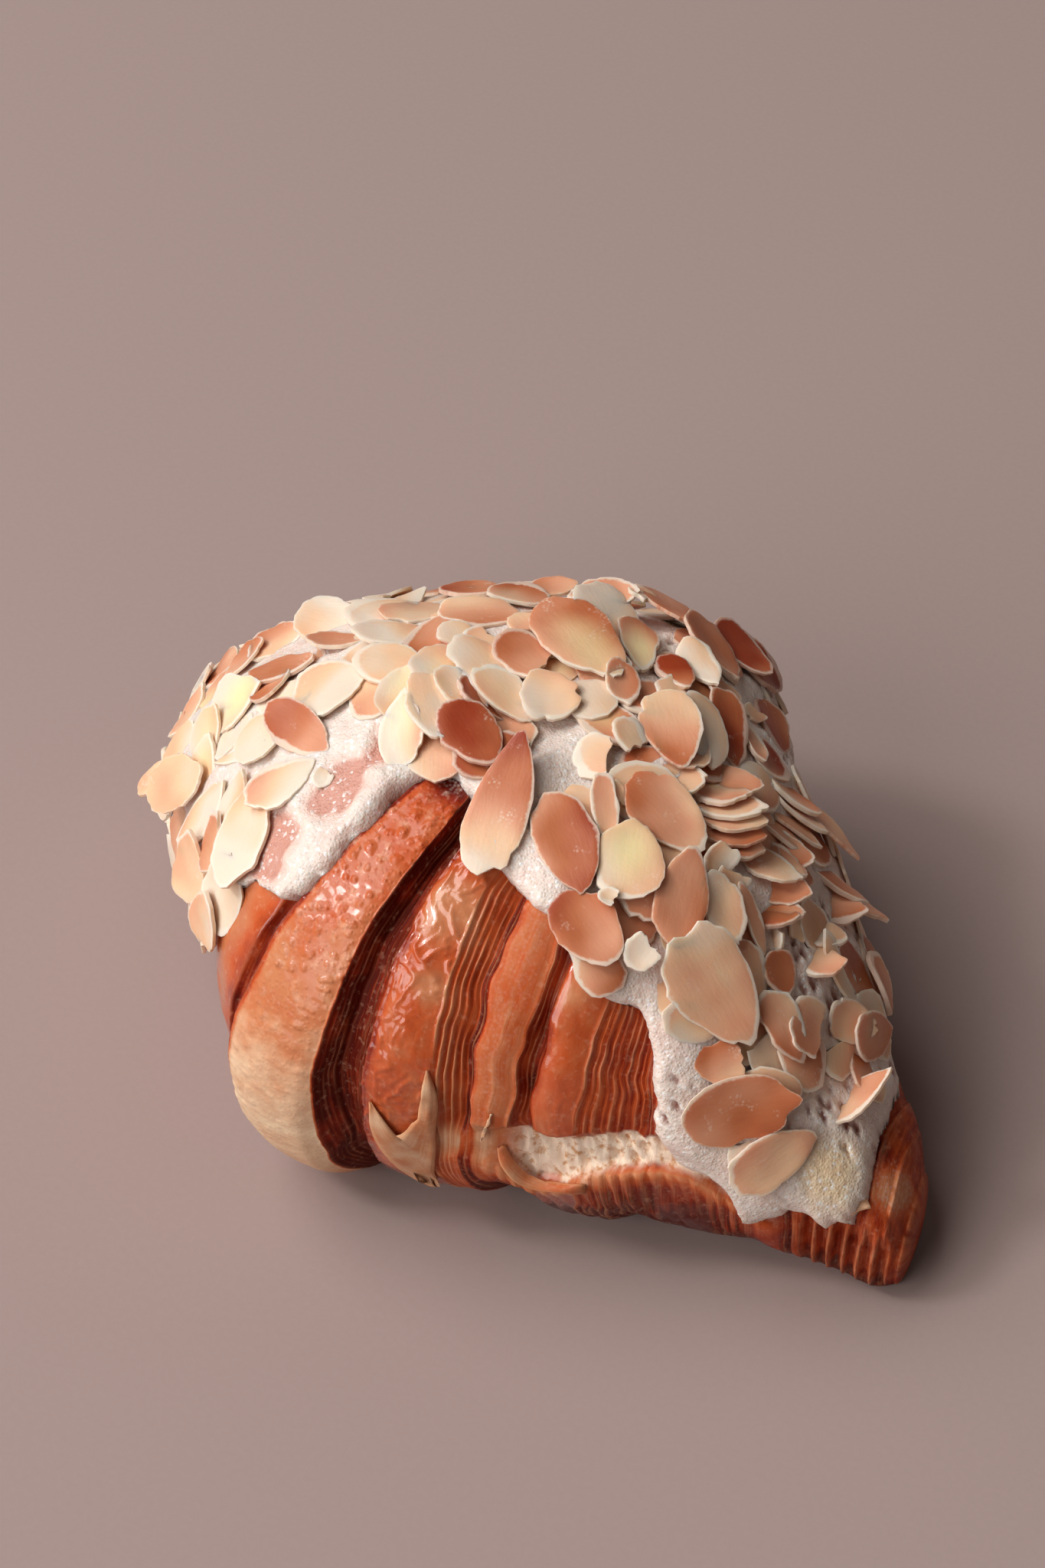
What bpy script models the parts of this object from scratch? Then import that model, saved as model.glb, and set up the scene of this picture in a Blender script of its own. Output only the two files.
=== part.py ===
"""Almond croissant: a curved roll of laminated dough under a coat of almond cream and flaked almonds.

Metres and degrees. The roll lies along X with its convex side towards -Y and rests on z = 0.
A place on the roll is given by s, the length along its curved spine from the main band, and by
theta, the angle down the side of the cross-section: 0 on top, 90 at the front, -90 at the back.
"""

import math
import random

import bmesh
import bpy
import numpy as np
from mathutils import Matrix, Vector
from mathutils.bvhtree import BVHTree

MM = 0.001

# The roll: the bend of its spine, and at places along it its half widths towards the front and
# the back and its height (mm).
SPINE_RADIUS = 182.4 * MM
ROLL_STATIONS = (
    (-84.0, 5.5, 5.5, 9.0),
    (-81.5, 10.0, 10.0, 17.0),
    (-76.5, 14.0, 14.5, 23.5),
    (-53.5, 29.3, 31.0, 49.3),
    (-26.8, 41.5, 44.5, 68.2),
    (0.0, 57.0, 57.0, 70.0),
    (10.0, 53.0, 55.5, 69.6),
    (26.8, 41.1, 45.5, 65.2),
    (53.5, 26.0, 30.0, 47.3),
    (72.0, 16.5, 17.5, 27.5),
    (78.5, 13.5, 13.0, 22.0),
    (80.5, 10.5, 9.5, 17.5),
)
HORN_SHIFT = ((48.0, 0.0), (62.0, 2.6), (80.5, 9.0))   # the near horn straightens towards the front
WAIST_HEIGHT = 0.45       # height of the widest line, as a share of the section's height
UNDERCUT = 0.096          # how far the side pulls in below the waist
BASE_CORNER = 136.0       # theta where the side meets the flat base
SIDE_ROUNDNESS = 0.95     # powers of the sine and the cosine: below 1 the section is fuller
TOP_ROUNDNESS = 0.9
BASE_ROUNDNESS = 0.75
CENTRE = (1.42 * MM, 0.0)   # middle of the finished outline, moved to the origin

# The main band, over s = 0: the places (mm) where its crown ends and its leaves meet the next band,
# each given on top and at the waist, and the depth of the step there. The other bands follow, with
# the place where the crown starts ahead of the same values.
MAIN_BAND_NEAR = ((2.0, 7.3), (2.6, 8.3), 5.0)
MAIN_BAND_FAR = ((4.2, 6.4), (4.8, 7.4), 3.2)
NEAR_BANDS = (
    ((4.3, 11.7), (10.5, 20.5), (14.0, 23.2), 3.6),
    ((15.5, 24.8), (23.5, 29.5), (24.2, 30.4), 3.2),
    ((25.3, 31.6), (32.3, 36.8), (36.0, 45.0), 3.4),
    ((38.0, 47.0), (47.0, 54.5), (49.0, 57.0), 2.5),
    ((51.0, 59.0), (58.0, 63.5), (60.0, 65.0), 1.4),
)
FAR_BANDS = (
    ((6.0, 9.0), (19.0, 24.0), (21.0, 26.5), 3.0),
    ((23.0, 28.5), (34.0, 38.5), (36.0, 41.0), 3.0),
    ((38.0, 43.0), (48.0, 52.5), (50.0, 55.0), 2.5),
    ((52.0, 57.0), (62.0, 66.0), (64.0, 68.5), 1.8),
)
LEAN_START = 10.0         # the seams lean away from the main band from here down to the waist
LEAN_POWER = 0.6
CROWN_START_DEPTH = 1.1
CROWN_END_DEPTH = 0.5
MAIN_CROWN_FLAT = 0.6     # share of the main band's crown that stays at full height
CROWN_MIDDLE = 0.5        # where a band's crown is highest, as a share of the way across it
FLOOR_START = 0.55        # where the floor of a step starts to rise, as a share of the way to the crown
FLOOR_DEPTH = 0.8         # its depth there, as a share of the step's
RELIEF_SHARE = ((0.0, 1.0), (96.0, 1.0), (124.0, 0.4), (BASE_CORNER, 0.0))   # none on the flat base

# The thick tail of the main band stands out above the base (mm, by s and by theta).
TAIL_HEIGHT = 3.6
TAIL_ALONG = ((5.5, 1.0), (9.0, 0.0))
TAIL_DOWN = ((70.0, 0.0), (112.0, 1.0), (124.0, 1.0), (BASE_CORNER, 0.0))

# The split above the front of the base: crumb line and crust lip along the roll (mm, degrees), how
# far the lip stands out, the depth of the ledge inside, and the places where the roll's foot is
# drawn in below it.
CRUMB_LINE = (
    (14.0, 96.0), (24.0, 88.0), (30.0, 85.0), (34.0, 85.0), (38.0, 81.0), (42.0, 77.0), (46.0, 74.0),
    (50.0, 71.5), (54.0, 71.5), (62.0, 81.0),
)
LIP_LINE = (
    (14.0, 104.0), (24.0, 93.0), (28.0, 93.5), (31.5, 98.0), (34.0, 97.0), (38.0, 91.5), (42.0, 87.5),
    (47.0, 82.5), (52.0, 80.5), (56.0, 83.0), (62.0, 89.0),
)
LIP_REACH = ((14.0, 0.0), (24.0, 0.3), (34.0, 1.0), (54.0, 0.5), (64.0, 0.0))
LIP_WIDTH = 2.0
LIP_LOW = 118.0           # theta down to which the crust below the lip stands out
LEDGE = ((16.0, 0.0), (26.0, 1.8), (30.0, 3.4), (35.0, 2.6), (54.0, 2.2), (64.0, 0.0))
LEDGE_AT_LIP = 0.4        # share of the ledge's depth that is left beside the lip
BRINK = 4.0               # degrees over which the crust steps in to the crumb
SPLIT_TOP = 40.0          # theta above which there is no split
SPLIT_OPEN = ((15.0, 0.0), (24.0, 1.0), (58.0, 1.0), (66.0, 0.0))   # share of the bands that it cuts off
HOLLOW = (
    (23.0, 0.0), (25.5, 3.2), (29.5, 3.0), (32.0, 0.4), (34.0, 0.0), (40.0, 0.2), (43.5, 2.4),
    (47.0, 1.0), (54.0, 1.0), (60.0, 2.0), (64.0, 0.4), (66.0, 0.0),
)
HOLLOW_DOWN = ((98.0, 0.0), (116.0, 1.0), (BASE_CORNER, 1.0))

# The ribbed end of the near horn (mm).
RIB_START = 66.0
RIB_PITCH = 2.2
RIB_COUNT = 6
RIB_DEPTH = 1.1
RIB_DOWN = ((56.0, 0.0), (78.0, 1.0), (112.0, 1.0), (BASE_CORNER, 0.0))
NEAR_END = 80.5
FAR_END = -84.0
END_COLUMN = 2.0          # from each end to the next column of mesh
FAR_COLUMN = 5.0          # from the far end to the column after that

# The coat of almond cream: its thickness, and its front and back edges along the roll.
COAT_GAP = 0.55
MOULD_REACH = 0.9         # the gap also holds this far to each side of the steps between bands
COAT_THICKNESS = 2.9
COAT_THINNING = ((0.0, 0.62), (0.12, 1.0))   # share of the thickness, by the share of the way across
COAT_OVERLAP = 1.5        # how far its first shape reaches into the dough, before the dough is cut out
COAT_FAR_END = -79.0
COAT_NEAR_END = 73.5
COAT_FRONT_EDGE = (
    (-79.0, 78.0), (-70.0, 100.0), (-50.0, 106.0), (-30.0, 98.0), (-20.3, 88.0), (-17.0, 64.0),
    (-13.0, 53.0), (-6.0, 48.0), (-4.4, 12.0), (6.0, 12.0), (12.0, 21.0), (24.0, 26.5),
    (31.0, 35.0), (38.3, 36.0), (42.0, 46.0), (44.0, 60.0), (47.5, 73.0), (56.0, 79.0),
    (59.5, 104.0), (62.5, 104.0), (66.0, 80.0), (73.5, 66.0),
)
COAT_BACK_EDGE = (
    (-79.0, -60.0), (-66.0, -84.0), (-50.0, -78.0), (-36.0, -90.0), (-18.0, -70.0), (-8.0, -80.0),
    (6.0, -66.0), (20.0, -82.0), (34.0, -64.0), (48.0, -76.0), (62.0, -58.0), (73.5, -40.0),
)

# Flaked almonds. Those that the photograph shows: pixel across and down, length and width (mm),
# and the turn of the long axis from the picture's right towards its top.
FLAKE_THICKNESS = 1.3
FLAKE_SIDES = 7
FLAKE_SINK = 0.55         # from a flake's underside to the face of the coat (mm)
FLAKE_NARROWING = 0.55    # how much narrower the pointed end is, for each length along the flake
SHOWN_LIFT = 0.35         # steps by which neighbouring flakes lie higher (mm)
STREWN_LIFT = 0.3
SHOWN_FLAKES = (
    (390, 952, 15.0, 9.5, -28), (372, 872, 13.0, 9.0, 8), (312, 856, 13.0, 9.0, 25),
    (430, 815, 12.0, 9.5, 0), (430, 895, 15.0, 12.5, 25), (250, 925, 14.0, 9.0, 60),
    (245, 1022, 14.0, 9.0, 25), (265, 1060, 16.0, 9.0, 52), (322, 1105, 20.0, 9.0, 68),
    (365, 1025, 13.0, 9.0, 35), (545, 798, 13.0, 10.0, 15), (510, 868, 12.0, 9.0, -15),
    (527, 945, 12.0, 8.0, 88), (565, 940, 12.0, 8.0, -80), (630, 798, 14.5, 9.0, -5),
    (690, 865, 13.0, 10.0, -40), (720, 909, 11.0, 9.0, 0), (612, 960, 13.0, 10.0, -66),
    (650, 1048, 24.0, 9.0, 74), (758, 838, 21.0, 11.5, -62), (790, 770, 13.0, 9.0, -10),
    (835, 838, 12.0, 7.0, -82), (885, 875, 10.0, 8.0, -62), (928, 846, 15.0, 8.5, -65),
    (876, 946, 15.5, 10.5, -72), (952, 950, 15.0, 9.0, -82), (788, 982, 9.5, 8.0, -12),
    (872, 1066, 18.0, 11.0, -42), (945, 1010, 12.0, 9.0, 0), (945, 1055, 14.0, 9.0, -8),
    (1012, 1112, 14.0, 10.0, -20), (1018, 1165, 12.0, 9.0, -15), (822, 1122, 13.5, 11.0, 80),
    (885, 1172, 16.0, 10.0, 73), (940, 1185, 13.0, 8.0, -65), (768, 1215, 14.5, 10.5, -52),
    (741, 1101, 18.0, 10.0, -76), (935, 1290, 20.0, 12.5, -58), (1072, 1250, 10.0, 8.0, -10),
    (1090, 1185, 12.0, 9.0, -15), (1025, 1342, 11.0, 8.0, -62), (1068, 1345, 10.0, 9.0, -38),
    (1143, 1350, 11.0, 8.5, 25), (960, 1390, 11.0, 7.5, 0), (965, 1452, 18.0, 12.0, 15),
    (1010, 1517, 16.0, 8.5, 25),
)
SCATTER_SEED = 21
SCATTER_TRIES = 900
SCATTER_SPACING = 9.6
SCATTER_END_MARGIN = 6.0  # kept free at the coat's ends (mm) and at its back and front edges (degrees)
SCATTER_BACK_MARGIN = 7.0
SCATTER_FRONT_MARGIN = 9.0
SCATTER_NARROWEST = 20.0  # where the coat is narrower than this (degrees) a flake lies on top
STREWN_LENGTH = (12.0, 17.0)
STREWN_WIDTH = (8.0, 10.5)
STREWN_TIP = (-0.10, 0.14)   # slope of a flake along its length
BARE_PATCHES = ((690, 1150, 75), (720, 990, 60), (870, 1420, 75), (400, 1080, 90), (1090, 1270, 45),
                (1090, 1450, 60), (480, 980, 60))

# The viewpoint that the pixels above belong to: a picture 1365 x 2048 taken with a 70 mm lens.
VIEW_AZIMUTH = 44.7
VIEW_ELEVATION = 49.6
VIEW_DISTANCE = 0.5415
VIEW_TARGET = (-0.0221, 0.0241, 0.0202)
VIEW_FOCAL = 2048 * 70.0 / 36.0
PICTURE_CENTRE = (682.5, 1024.0)

# Rows of the dough's mesh, by theta.
FRONT_ROWS = (4.0, 14.0, 26.0, 39.0, 52.0, 64.0)
FRONT_LOW_ROWS = (112.0, 124.0, BASE_CORNER)
BACK_ROWS = (-BASE_CORNER, -120.0, -104.0, -88.0, -72.0, -56.0, -40.0, -24.0, -10.0)
COAT_ROWS = 9
COAT_COLUMN_THETA = 40.0  # theta at which the coat's columns follow the bands
OUTSIDE_DEPTH = -30.0     # a place well outside the roll, to look down on the coat from (mm)


def clear_scene():
    """Start from an empty scene."""
    for obj in list(bpy.data.objects):
        bpy.data.objects.remove(obj, do_unlink=True)


def new_collection(name):
    """Add a collection to the scene."""
    collection = bpy.data.collections.new(name)
    bpy.context.scene.collection.children.link(collection)
    return collection


def material(name, colour, roughness):
    """A plain material, as a first idea of the finish."""
    mat = bpy.data.materials.new(name)
    mat.use_nodes = True
    shader = mat.node_tree.nodes["Principled BSDF"]
    shader.inputs["Base Color"].default_value = (*colour, 1.0)
    shader.inputs["Roughness"].default_value = roughness
    shader.inputs["Metallic"].default_value = 0.0
    return mat


def curve(knots, x, column=1):
    """Smooth value at x through the knots, held beyond the first and the last."""
    table = np.array(knots, dtype=float)
    xs, ys = table[:, 0], table[:, column]
    slopes = np.gradient(ys, xs)
    x = min(max(x, xs[0]), xs[-1])
    i = min(max(int(np.searchsorted(xs, x)) - 1, 0), len(xs) - 2)
    width = xs[i + 1] - xs[i]
    t = (x - xs[i]) / width
    start = ys[i] * (1 + 2 * t) * (1 - t) ** 2 + slopes[i] * width * t * (1 - t) ** 2
    end = ys[i + 1] * t * t * (3 - 2 * t) - slopes[i + 1] * width * t * t * (1 - t)
    return float(start + end)


def straight(knots, x):
    """Value at x on straight lines between the knots."""
    xs, ys = np.array(knots, dtype=float).T
    return float(np.interp(x, xs, ys))


def lean(top, waist, theta):
    """Place of a seam at theta: it leans away from the main band on its way down the side."""
    share = min(max((abs(theta) - LEAN_START) / (90.0 - LEAN_START), 0.0), 1.0) ** LEAN_POWER
    return top + (waist - top) * share


def band_profile(theta):
    """Places along the roll (mm) and depths (mm) of the crowns and the steps at theta."""
    near = side_profile(MAIN_BAND_NEAR, NEAR_BANDS, theta)
    far = side_profile(MAIN_BAND_FAR, FAR_BANDS, theta)
    places = [-place for place, _ in reversed(far)] + [0.0] + [place for place, _ in near]
    depths = [depth for _, depth in reversed(far)] + [0.0] + [depth for _, depth in near]
    return places, depths


def side_profile(main_band, bands, theta):
    """The seams on one side of the main band, from its crown outwards."""
    crown_end, foot, step = main_band
    end = lean(*crown_end, theta)
    points = [(MAIN_CROWN_FLAT * end, 0.0), (end, CROWN_END_DEPTH), (lean(*foot, theta), step)]
    for crown_start, crown_end, foot, next_step in bands:
        start, end = lean(*crown_start, theta), lean(*crown_end, theta)
        foot_place = points[-1][0]
        points.append((foot_place + FLOOR_START * (start - foot_place), FLOOR_DEPTH * step))
        points.append((start, CROWN_START_DEPTH))
        points.append((start + CROWN_MIDDLE * (end - start), 0.0))
        points.append((end, CROWN_END_DEPTH))
        points.append((lean(*foot, theta), next_step))
        step = next_step
    return points


def split_depth(s, theta):
    """Depth (mm) of the split above the base at the front; the lip stands proud of the roll."""
    if theta <= SPLIT_TOP:
        return 0.0
    reach, ledge = curve(LIP_REACH, s), curve(LEDGE, s)
    crumb, lip = curve(CRUMB_LINE, s), curve(LIP_LINE, s)
    profile = ((crumb - BRINK, 0.0), (crumb, ledge), (lip - LIP_WIDTH, LEDGE_AT_LIP * ledge),
               (lip, -reach), (LIP_LOW, -reach), (BASE_CORNER, 0.0))
    return straight(profile, theta) + straight(HOLLOW, s) * straight(HOLLOW_DOWN, theta)


def inside_split(s, theta):
    """How far a place lies inside the split: 0 above it, 1 on its ledge and below."""
    down = min(max((theta - curve(CRUMB_LINE, s)) / BRINK + 1.0, 0.0), 1.0)
    return straight(SPLIT_OPEN, s) * down


def rib_depth(s, theta):
    """Depth (mm) of the leaves that show edge-on at the near horn's end."""
    count = (s - RIB_START) / RIB_PITCH
    if not 0.0 <= count <= RIB_COUNT:
        return 0.0
    return RIB_DEPTH * abs(math.sin(math.pi * count)) * straight(RIB_DOWN, theta)


def tail_height(s, theta):
    """How far the thick tail of the main band stands out near the base (mm)."""
    return TAIL_HEIGHT * straight(TAIL_ALONG, abs(s)) * straight(TAIL_DOWN, abs(theta))


def depth_at(s, theta):
    """Depth (mm) of the dough's surface below the plain roll."""
    places, depths = band_profile(theta)
    share = straight(RELIEF_SHARE, abs(theta)) * (1.0 - inside_split(s, theta))
    bands = float(np.interp(s, places, depths)) * share
    return bands + split_depth(s, theta) + rib_depth(s, theta) - tail_height(s, theta)


def roll_point(s, theta, depth):
    """Point of the roll at s and theta (mm, degrees), depth below its plain surface."""
    half_width = curve(ROLL_STATIONS, s, column=1 if theta > 0 else 2)
    height = curve(ROLL_STATIONS, s, column=3)
    sine, cosine = math.sin(math.radians(theta)), math.cos(math.radians(theta))
    waist = WAIST_HEIGHT * height
    across = half_width * math.copysign(abs(sine) ** SIDE_ROUNDNESS, sine)
    if cosine >= 0:
        above = (height - waist) * cosine ** TOP_ROUNDNESS
    else:
        across *= 1.0 + UNDERCUT * cosine
        corner = -math.cos(math.radians(BASE_CORNER))
        above = -waist * min(1.0, -cosine / corner) ** BASE_ROUNDNESS
    shrink = 1.0 - depth / max(math.hypot(across, above), 1.0)
    return on_spine(s, across * shrink, waist + above * shrink)


def on_spine(s, across, height):
    """Turn a place along and across the spine (mm) into a point in metres."""
    angle = s * MM / SPINE_RADIUS
    across += curve(HORN_SHIFT, s)
    x = SPINE_RADIUS * math.sin(angle) + across * MM * math.sin(angle)
    y = SPINE_RADIUS * (1 - math.cos(angle)) - across * MM * math.cos(angle)
    return Vector((x, y, height * MM))


def dough_rows(s):
    """Thetas of the mesh's rows at s; four of them follow the split."""
    crumb, lip = curve(CRUMB_LINE, s), curve(LIP_LINE, s)
    split = (crumb - BRINK, crumb, lip - LIP_WIDTH, lip)
    return BACK_ROWS + FRONT_ROWS + split + FRONT_LOW_ROWS


def dough_columns(theta):
    """Places of the mesh's columns along the roll at theta."""
    places, _ = band_profile(theta)
    ribs = [RIB_START + RIB_PITCH * i / 2 for i in range(2 * RIB_COUNT + 1)]
    near_end = [NEAR_END - END_COLUMN, NEAR_END]
    last_far = FAR_END + FAR_COLUMN
    far_end = [FAR_END, FAR_END + END_COLUMN, last_far, (last_far + places[0]) / 2]
    return far_end + places[:-1] + ribs + near_end


def roll_mesh(depth_of):
    """A bmesh of the whole roll, its surface at depth_of(s, theta): rings closed by flat ends."""
    nominal = dough_rows(0.0)
    columns = [dough_columns(theta) for theta in nominal]
    bm = bmesh.new()
    rings = []
    for j in range(len(columns[0])):
        ring = []
        for i in range(len(nominal)):
            s = columns[i][j]
            theta = dough_rows(s)[i]
            ring.append(bm.verts.new(roll_point(s, theta, depth_of(s, theta))))
        rings.append(ring)
    count = len(nominal)
    for first, second in zip(rings, rings[1:]):
        for i in range(count):
            k = (i + 1) % count
            bm.faces.new((first[i], first[k], second[k], second[i]))
    bm.faces.new(reversed(rings[0]))
    bm.faces.new(rings[-1])
    return bm


def make_dough(collection):
    """The baked roll."""
    crust = material("baked_crust", (0.62, 0.25, 0.09), 0.42)
    return finish_object(roll_mesh(depth_at), "croissant", collection, crust)


def make_mould(collection):
    """The roll made larger by the gap that the topping keeps to it, for cutting the topping."""
    mould = finish_object(roll_mesh(mould_depth), "mould", collection, bpy.data.materials["baked_crust"])
    mould.hide_render = True
    mould.display_type = "WIRE"
    return mould


def finish_object(bm, name, collection, mat):
    """Close a bmesh into an object, with its faces pointing out."""
    bmesh.ops.recalc_face_normals(bm, faces=bm.faces)
    bmesh.ops.triangulate(bm, faces=bm.faces)
    mesh = bpy.data.meshes.new(name)
    bm.to_mesh(mesh)
    bm.free()
    mesh.materials.append(mat)
    obj = bpy.data.objects.new(name, mesh)
    collection.objects.link(obj)
    return obj


def mould_depth(s, theta):
    """Depth of the mould's face: clear of the dough at every place beside it."""
    beside = (s - MOULD_REACH, s, s + MOULD_REACH)
    return min(depth_at(place, theta) for place in beside) - COAT_GAP


def coat_outer_depth(s, theta, share):
    """Depth of the coat's outer face; it evens out the bands and thins towards its edges."""
    edge = min(share, 1.0 - share)
    thickness = COAT_THICKNESS * straight(COAT_THINNING, edge)
    inner = mould_depth(s, theta)
    return min(inner, 0.5 * inner) - thickness


def make_coat(collection):
    """The coat of almond cream: a sheet whose inner face still lies inside the dough."""
    last = COAT_NEAR_END - COAT_OVERLAP
    columns = [s for s in dough_columns(COAT_COLUMN_THETA) if COAT_FAR_END < s < last]
    columns = [COAT_FAR_END] + columns + [COAT_NEAR_END]
    inner, outer = [], []
    bm = bmesh.new()
    for s_here in columns:
        front, back = straight(COAT_FRONT_EDGE, s_here), curve(COAT_BACK_EDGE, s_here)
        inner.append([])
        outer.append([])
        for i in range(COAT_ROWS):
            share = i / (COAT_ROWS - 1)
            theta = back + (front - back) * share
            lower = depth_at(s_here, theta) + COAT_OVERLAP
            upper = coat_outer_depth(s_here, theta, share)
            inner[-1].append(bm.verts.new(roll_point(s_here, theta, lower)))
            outer[-1].append(bm.verts.new(roll_point(s_here, theta, upper)))
    for j in range(len(columns) - 1):
        for i in range(COAT_ROWS - 1):
            bm.faces.new((outer[j][i], outer[j][i + 1], outer[j + 1][i + 1], outer[j + 1][i]))
            bm.faces.new((inner[j][i], inner[j + 1][i], inner[j + 1][i + 1], inner[j][i + 1]))
        for i in (0, COAT_ROWS - 1):
            bm.faces.new((inner[j][i], inner[j + 1][i], outer[j + 1][i], outer[j][i]))
    for j in (0, len(columns) - 1):
        for i in range(COAT_ROWS - 1):
            bm.faces.new((inner[j][i], inner[j][i + 1], outer[j][i + 1], outer[j][i]))
    cream = material("almond_cream", (0.80, 0.66, 0.50), 0.6)
    return finish_object(bm, "almond_topping", collection, cream)


def view_axes():
    """The viewpoint's place and its backward, right and up directions."""
    azimuth, elevation = math.radians(VIEW_AZIMUTH), math.radians(VIEW_ELEVATION)
    back = Vector((math.sin(azimuth) * math.cos(elevation),
                   -math.cos(azimuth) * math.cos(elevation), math.sin(elevation)))
    right = Vector((math.cos(azimuth), math.sin(azimuth), 0.0))
    eye = Vector(VIEW_TARGET) + VIEW_DISTANCE * back
    return eye, back, right, back.cross(right)


def pixel_ray(across, down):
    """Direction from the viewpoint through a pixel of the picture."""
    _, back, right, up = view_axes()
    ray = right * (across - PICTURE_CENTRE[0]) + up * (PICTURE_CENTRE[1] - down) - back * VIEW_FOCAL
    return ray.normalized()


def pixel_of(point):
    """Pixel of the picture at which a point shows."""
    eye, back, right, up = view_axes()
    offset = point - eye
    scale = VIEW_FOCAL / -offset.dot(back)
    return PICTURE_CENTRE[0] + scale * offset.dot(right), PICTURE_CENTRE[1] - scale * offset.dot(up)


def flake_placement(place, normal, along, lift):
    """Matrix that lays a flake on the coat at place, its long axis along a tangent."""
    z_axis = normal.normalized()
    x_axis = (along - z_axis * along.dot(z_axis)).normalized()
    y_axis = z_axis.cross(x_axis)
    turn = Matrix((x_axis, y_axis, z_axis)).transposed().to_4x4()
    return Matrix.Translation(place + z_axis * lift * MM) @ turn


def shown_flakes(tree):
    """Placement, length and width of each flake that the photograph shows."""
    eye, _, right, up = view_axes()
    flakes = []
    for number, (across, down, length, width, turn) in enumerate(SHOWN_FLAKES):
        ray = pixel_ray(across, down)
        place, normal, _, _ = tree.ray_cast(eye, ray)
        if place is None:
            continue
        facing = right * math.cos(math.radians(turn)) + up * math.sin(math.radians(turn))
        along = facing - ray * (normal.dot(facing) / normal.dot(ray))
        lift = SHOWN_LIFT * (number % 3)
        flakes.append((flake_placement(place, normal, along, lift), length, width))
    return flakes


def scattered_flakes(tree, shown):
    """Flakes over the rest of the coat, spread evenly by a seeded draw."""
    draw = random.Random(SCATTER_SEED)
    eye = view_axes()[0]
    centres = [placement.translation.copy() for placement, _, _ in shown]
    flakes = []
    for number in range(SCATTER_TRIES):
        s = draw.uniform(COAT_FAR_END + SCATTER_END_MARGIN, COAT_NEAR_END - SCATTER_END_MARGIN)
        front, back = straight(COAT_FRONT_EDGE, s), curve(COAT_BACK_EDGE, s)
        wide = front - back > SCATTER_NARROWEST
        low, high = back + SCATTER_BACK_MARGIN, front - SCATTER_FRONT_MARGIN
        theta = draw.uniform(low, high) if wide else 0.0
        length, width = draw.uniform(*STREWN_LENGTH), draw.uniform(*STREWN_WIDTH)
        turn, tip = draw.uniform(0.0, math.pi), draw.uniform(*STREWN_TIP)
        outside = roll_point(s, theta, OUTSIDE_DEPTH)
        towards = (roll_point(s, theta, 0.0) - outside).normalized()
        place, normal, _, _ = tree.ray_cast(outside, towards)
        if place is None or min((place - centre).length for centre in centres) < SCATTER_SPACING * MM:
            continue
        across, down = pixel_of(place)
        bare = any(math.hypot(across - x, down - y) < radius for x, y, radius in BARE_PATCHES)
        if bare and normal.dot(eye - place) > 0:
            continue
        side = normal.orthogonal().normalized()
        along = Matrix.Rotation(turn, 3, normal) @ side
        lift = STREWN_LIFT * (number % 3)
        placement = flake_placement(place, normal + tip * along, along, lift)
        flakes.append((placement, length, width))
        centres.append(place.copy())
    return flakes


def make_flake(number, placement, length, width, collection):
    """One flaked almond: a thin slice, rounded at one end and pointed at the other."""
    bm = bmesh.new()
    bmesh.ops.create_circle(bm, cap_ends=True, segments=FLAKE_SIDES, radius=0.5)
    for vert in bm.verts:
        narrowing = 1.0 - FLAKE_NARROWING * vert.co.x
        across, over = vert.co.x * length, vert.co.y * width * narrowing
        vert.co = Vector((across, over, -FLAKE_SINK)) * MM
    cap = bmesh.ops.extrude_face_region(bm, geom=list(bm.faces))
    top = [item for item in cap["geom"] if isinstance(item, bmesh.types.BMVert)]
    bmesh.ops.translate(bm, verts=top, vec=(0.0, 0.0, FLAKE_THICKNESS * MM))
    bmesh.ops.transform(bm, matrix=placement, verts=bm.verts)
    return finish_object(bm, f"flake_{number:03d}", collection, bpy.data.materials["almond_cream"])


def combine(target, pieces, operation):
    """Join the pieces to the target, or cut them out of it, and remove the pieces."""
    modifier = target.modifiers.new(operation.lower(), "BOOLEAN")
    modifier.operation = operation
    modifier.operand_type = "COLLECTION"
    modifier.solver = "MANIFOLD"
    modifier.collection = pieces
    graph = bpy.context.evaluated_depsgraph_get()
    combined = bpy.data.meshes.new_from_object(target.evaluated_get(graph))
    target.modifiers.clear()
    target.data = combined
    for piece in list(pieces.objects):
        bpy.data.objects.remove(piece, do_unlink=True)
    bpy.data.collections.remove(pieces)


def islands(bm):
    """Lists of the faces that hang together."""
    left, groups = set(bm.faces), []
    while left:
        stack, group = [left.pop()], []
        while stack:
            face = stack.pop()
            group.append(face)
            for edge in face.edges:
                for other in edge.link_faces:
                    if other in left:
                        left.remove(other)
                        stack.append(other)
        groups.append(group)
    return groups


def signed_volume(faces):
    """Volume inside the faces: negative for a sealed hollow."""
    total = 0.0
    for face in faces:
        corners = [vert.co for vert in face.verts]
        for second, third in zip(corners[1:], corners[2:]):
            total += corners[0].dot(second.cross(third)) / 6.0
    return total


def keep_one_body(obj):
    """Fill the hollows that fusing sealed, and drop any loose scrap."""
    bm = bmesh.new()
    bm.from_mesh(obj.data)
    groups = sorted(islands(bm), key=signed_volume, reverse=True)
    extra = [face for group in groups[1:] for face in group]
    bmesh.ops.delete(bm, geom=extra, context="FACES")
    bmesh.ops.triangulate(bm, faces=bm.faces)
    bm.to_mesh(obj.data)
    bm.free()


def move_to_centre(obj):
    """Set the roll over the origin."""
    obj.data.transform(Matrix.Translation((-CENTRE[0], -CENTRE[1], 0.0)))
    obj.data.update()


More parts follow.
